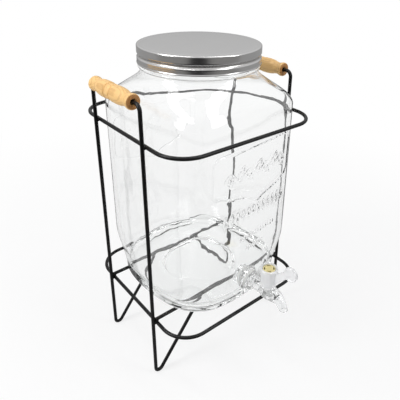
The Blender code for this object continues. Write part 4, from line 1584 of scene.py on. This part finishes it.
# %% Finishes of the pieces that stay
def refinish(node, finish):
    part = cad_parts[node]
    part.data.materials.clear()
    part.data.materials.append(finish)
    print("refinished:", node)


rubber = moulded("milky_rubber", colour(0.80, 0.80, 0.78), colour(0.72, 0.72, 0.70),
                 0.5, 1400.0, 0.00003, 0.1)
liner_foam = moulded("liner_foam", colour(0.84, 0.84, 0.82), colour(0.78, 0.78, 0.76),
                     0.65, 2600.0, 0.00008, 0.2)
nut_plastic = clear_finish("nut_plastic", colour(0.97, 0.975, 0.978), colour(0.95, 0.955, 0.957),
                           tap_cross.z - 0.02, tap_cross.z + 0.02, plastic_index, 160.0, 0.03, 0.00002)
refinish("lid_liner", liner_foam)
refinish("tap_nut", nut_plastic)
for small in ("tap_outer_washer", "tap_inner_washer", "tap_lower_seal", "tap_upper_seal"):
    refinish(small, rubber)

# %% [markdown]
# The table is a plain white sweep. What the camera sees straight, and through the glass, is mostly
# its own white, and the rest of it takes light, so the stand's soft shadow still falls there.
# In a studio the sweep ends before the camera, so the steel's low reflections find a darker floor there.

# %% Floor
floor_half = 4.0
floor_drop = 0.0002
open_side = Vector((-0.633, -0.774, 0.0)).normalized()
across_side = Vector((-open_side.y, open_side.x, 0.0))


def along_way(recipe, place, way):
    return recipe.node("VectorMath", {"operation": "DOT_PRODUCT"}, {0: place, 1: tuple(way)}, "Value")


def white_floor():
    made, recipe, place = new_finish("white_table")
    mottle = recipe.noise(place, 3.0, 3.0)
    tone = recipe.blend(mottle, colour(0.86, 0.86, 0.86), colour(0.90, 0.90, 0.90))
    sockets = {"Base Color": tone, "Roughness": 0.85, "Specular IOR Level": 0.1}
    lit = recipe.node("BsdfPrincipled", {}, sockets)
    ahead = along_way(recipe, place, open_side)
    sideways = along_way(recipe, place, across_side)
    dark = recipe.between(ahead, 0.30, 0.55)
    middle = recipe.between(sideways * sideways, 0.42, 0.10)
    shown = recipe.blend(dark, colour(0.42, 0.42, 0.42), colour(0.30, 0.295, 0.29))
    shown = recipe.blend(dark * middle, shown, colour(0.035, 0.035, 0.036))
    path = recipe.node("LightPath", output="Is Camera Ray")
    through = path.part("Is Transmission Ray")
    glossy = path.part("Is Glossy Ray") * (1 - through)
    tone = recipe.blend(glossy, colour(1, 1, 1), shown)
    own = recipe.node("Emission", {}, {"Color": tone, "Strength": 1.0})
    seen = path.at_least(glossy).at_least(through)
    away = recipe.length(place)
    share = recipe.between(away, 0.25, 0.9, 0.76, 1.0)
    share = share.at_least(glossy)
    shader = recipe.node("MixShader", {}, {0: seen * share, 1: lit, 2: own})
    return close_finish(made, recipe, shader)


def lay_floor():
    mesh = bpy.data.meshes.new("table")
    corners = [(x * floor_half, y * floor_half, -floor_drop) for x, y in ((-1, -1), (1, -1), (1, 1), (-1, 1))]
    mesh.from_pydata(corners, [], [(0, 1, 2, 3)])
    made = bpy.data.objects.new("table", mesh)
    bpy.context.scene.collection.objects.link(made)
    mesh.materials.append(white_floor())
    made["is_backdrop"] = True
    return made


lay_floor()

# %% [markdown]
# Glass and steel show the room more than their own colour. Steel sees a grey room with a dark gap
# where the photographer stands, and a paler ceiling. Light that has gone through the glass finds
# the white sweep. The camera itself sees plain white, and matt surfaces get an even grey light.

# %% Room and lamps
lamp_aim = Vector((0.0, 0.0, 0.2))
softbox = (0.5, 1.4)
strip = (0.26, 1.3)
strip_turn = math.radians(-39.0)


def room_light():
    world = bpy.data.worlds.new("studio")
    world.use_nodes = True
    bpy.context.scene.world = world
    recipe = Recipe(world.node_tree)
    way = recipe.node("TexCoord", output="Generated")
    facing = along_way(recipe, way, open_side)
    sideways = along_way(recipe, way, across_side)
    height = recipe.coordinate(way, "Z")
    front = recipe.between(facing, -0.15, 0.55)
    middle = recipe.between(sideways * sideways, 0.20, 0.06) * front
    ceiling = recipe.between(height, 0.05, 0.35)
    reflected = recipe.blend(front, colour(0.42, 0.42, 0.42), colour(0.36, 0.36, 0.36))
    reflected = recipe.blend(middle * 0.85, reflected, colour(0.04, 0.04, 0.042))
    reflected = recipe.blend(ceiling, reflected, colour(0.80, 0.80, 0.805))
    through = recipe.blend(front, colour(1.0, 1.0, 1.0), colour(0.36, 0.36, 0.36))
    path = recipe.node("LightPath", output="Is Camera Ray")
    tone = recipe.blend(path.part("Is Glossy Ray"), colour(0.34, 0.34, 0.35), reflected)
    tone = recipe.blend(path.part("Is Transmission Ray"), tone, through)
    tone = recipe.blend(path, tone, colour(1.0, 1.0, 1.0))
    light = recipe.node("Background", {}, {"Color": tone, "Strength": 1.0})
    recipe.node("OutputWorld", {}, {"Surface": light})


def lamp(name, place, size, power, spin=0.0):
    """A soft oval lamp that faces the middle of the part."""
    light = bpy.data.lights.new(name, "AREA")
    light.shape = "ELLIPSE"
    light.size, light.size_y = size
    light.energy = power
    made = bpy.data.objects.new(name, light)
    made.location = place
    facing = (lamp_aim - Vector(place)).to_track_quat("-Z", "Y").to_matrix()
    made.rotation_euler = (facing @ Matrix.Rotation(spin, 3, "Z")).to_euler()
    bpy.context.scene.collection.objects.link(made)
    print("lamp:", name, power, "W")


room_light()
lamp("left_softbox", (-1.35, 0.30, 1.15), softbox, 14.0)
lamp("right_softbox", (0.75, -1.35, 1.15), softbox, 8.0)
lamp("left_ceiling_strip", (-0.46, 0.40, 1.9), strip, 7.0, strip_turn)
lamp("right_ceiling_strip", (0.46, -0.34, 1.9), strip, 6.0, strip_turn)
bpy.context.scene.view_settings.view_transform = "Standard"

# %% [markdown]
# Light that enters the jar's thick foot turns round in it many times before it leaves,
# so the paths through glass may be longer than usual.

# %% Longer light paths
paths = bpy.context.scene.cycles
paths.max_bounces = 32
paths.glossy_bounces = 16
paths.transmission_bounces = 32
paths.transparent_max_bounces = 16

# %% [markdown]
# The dressed part has to fill the same space as the imported one, so the growth of its box over the imported
# one's is printed.

# %% Compare the sizes and finish
new_low, new_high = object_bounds()
growth = [round((a - b) * 1000, 2) for a, b in zip((*new_low, *new_high), (*cad_low, *cad_high))]
print("growth in mm:", growth)
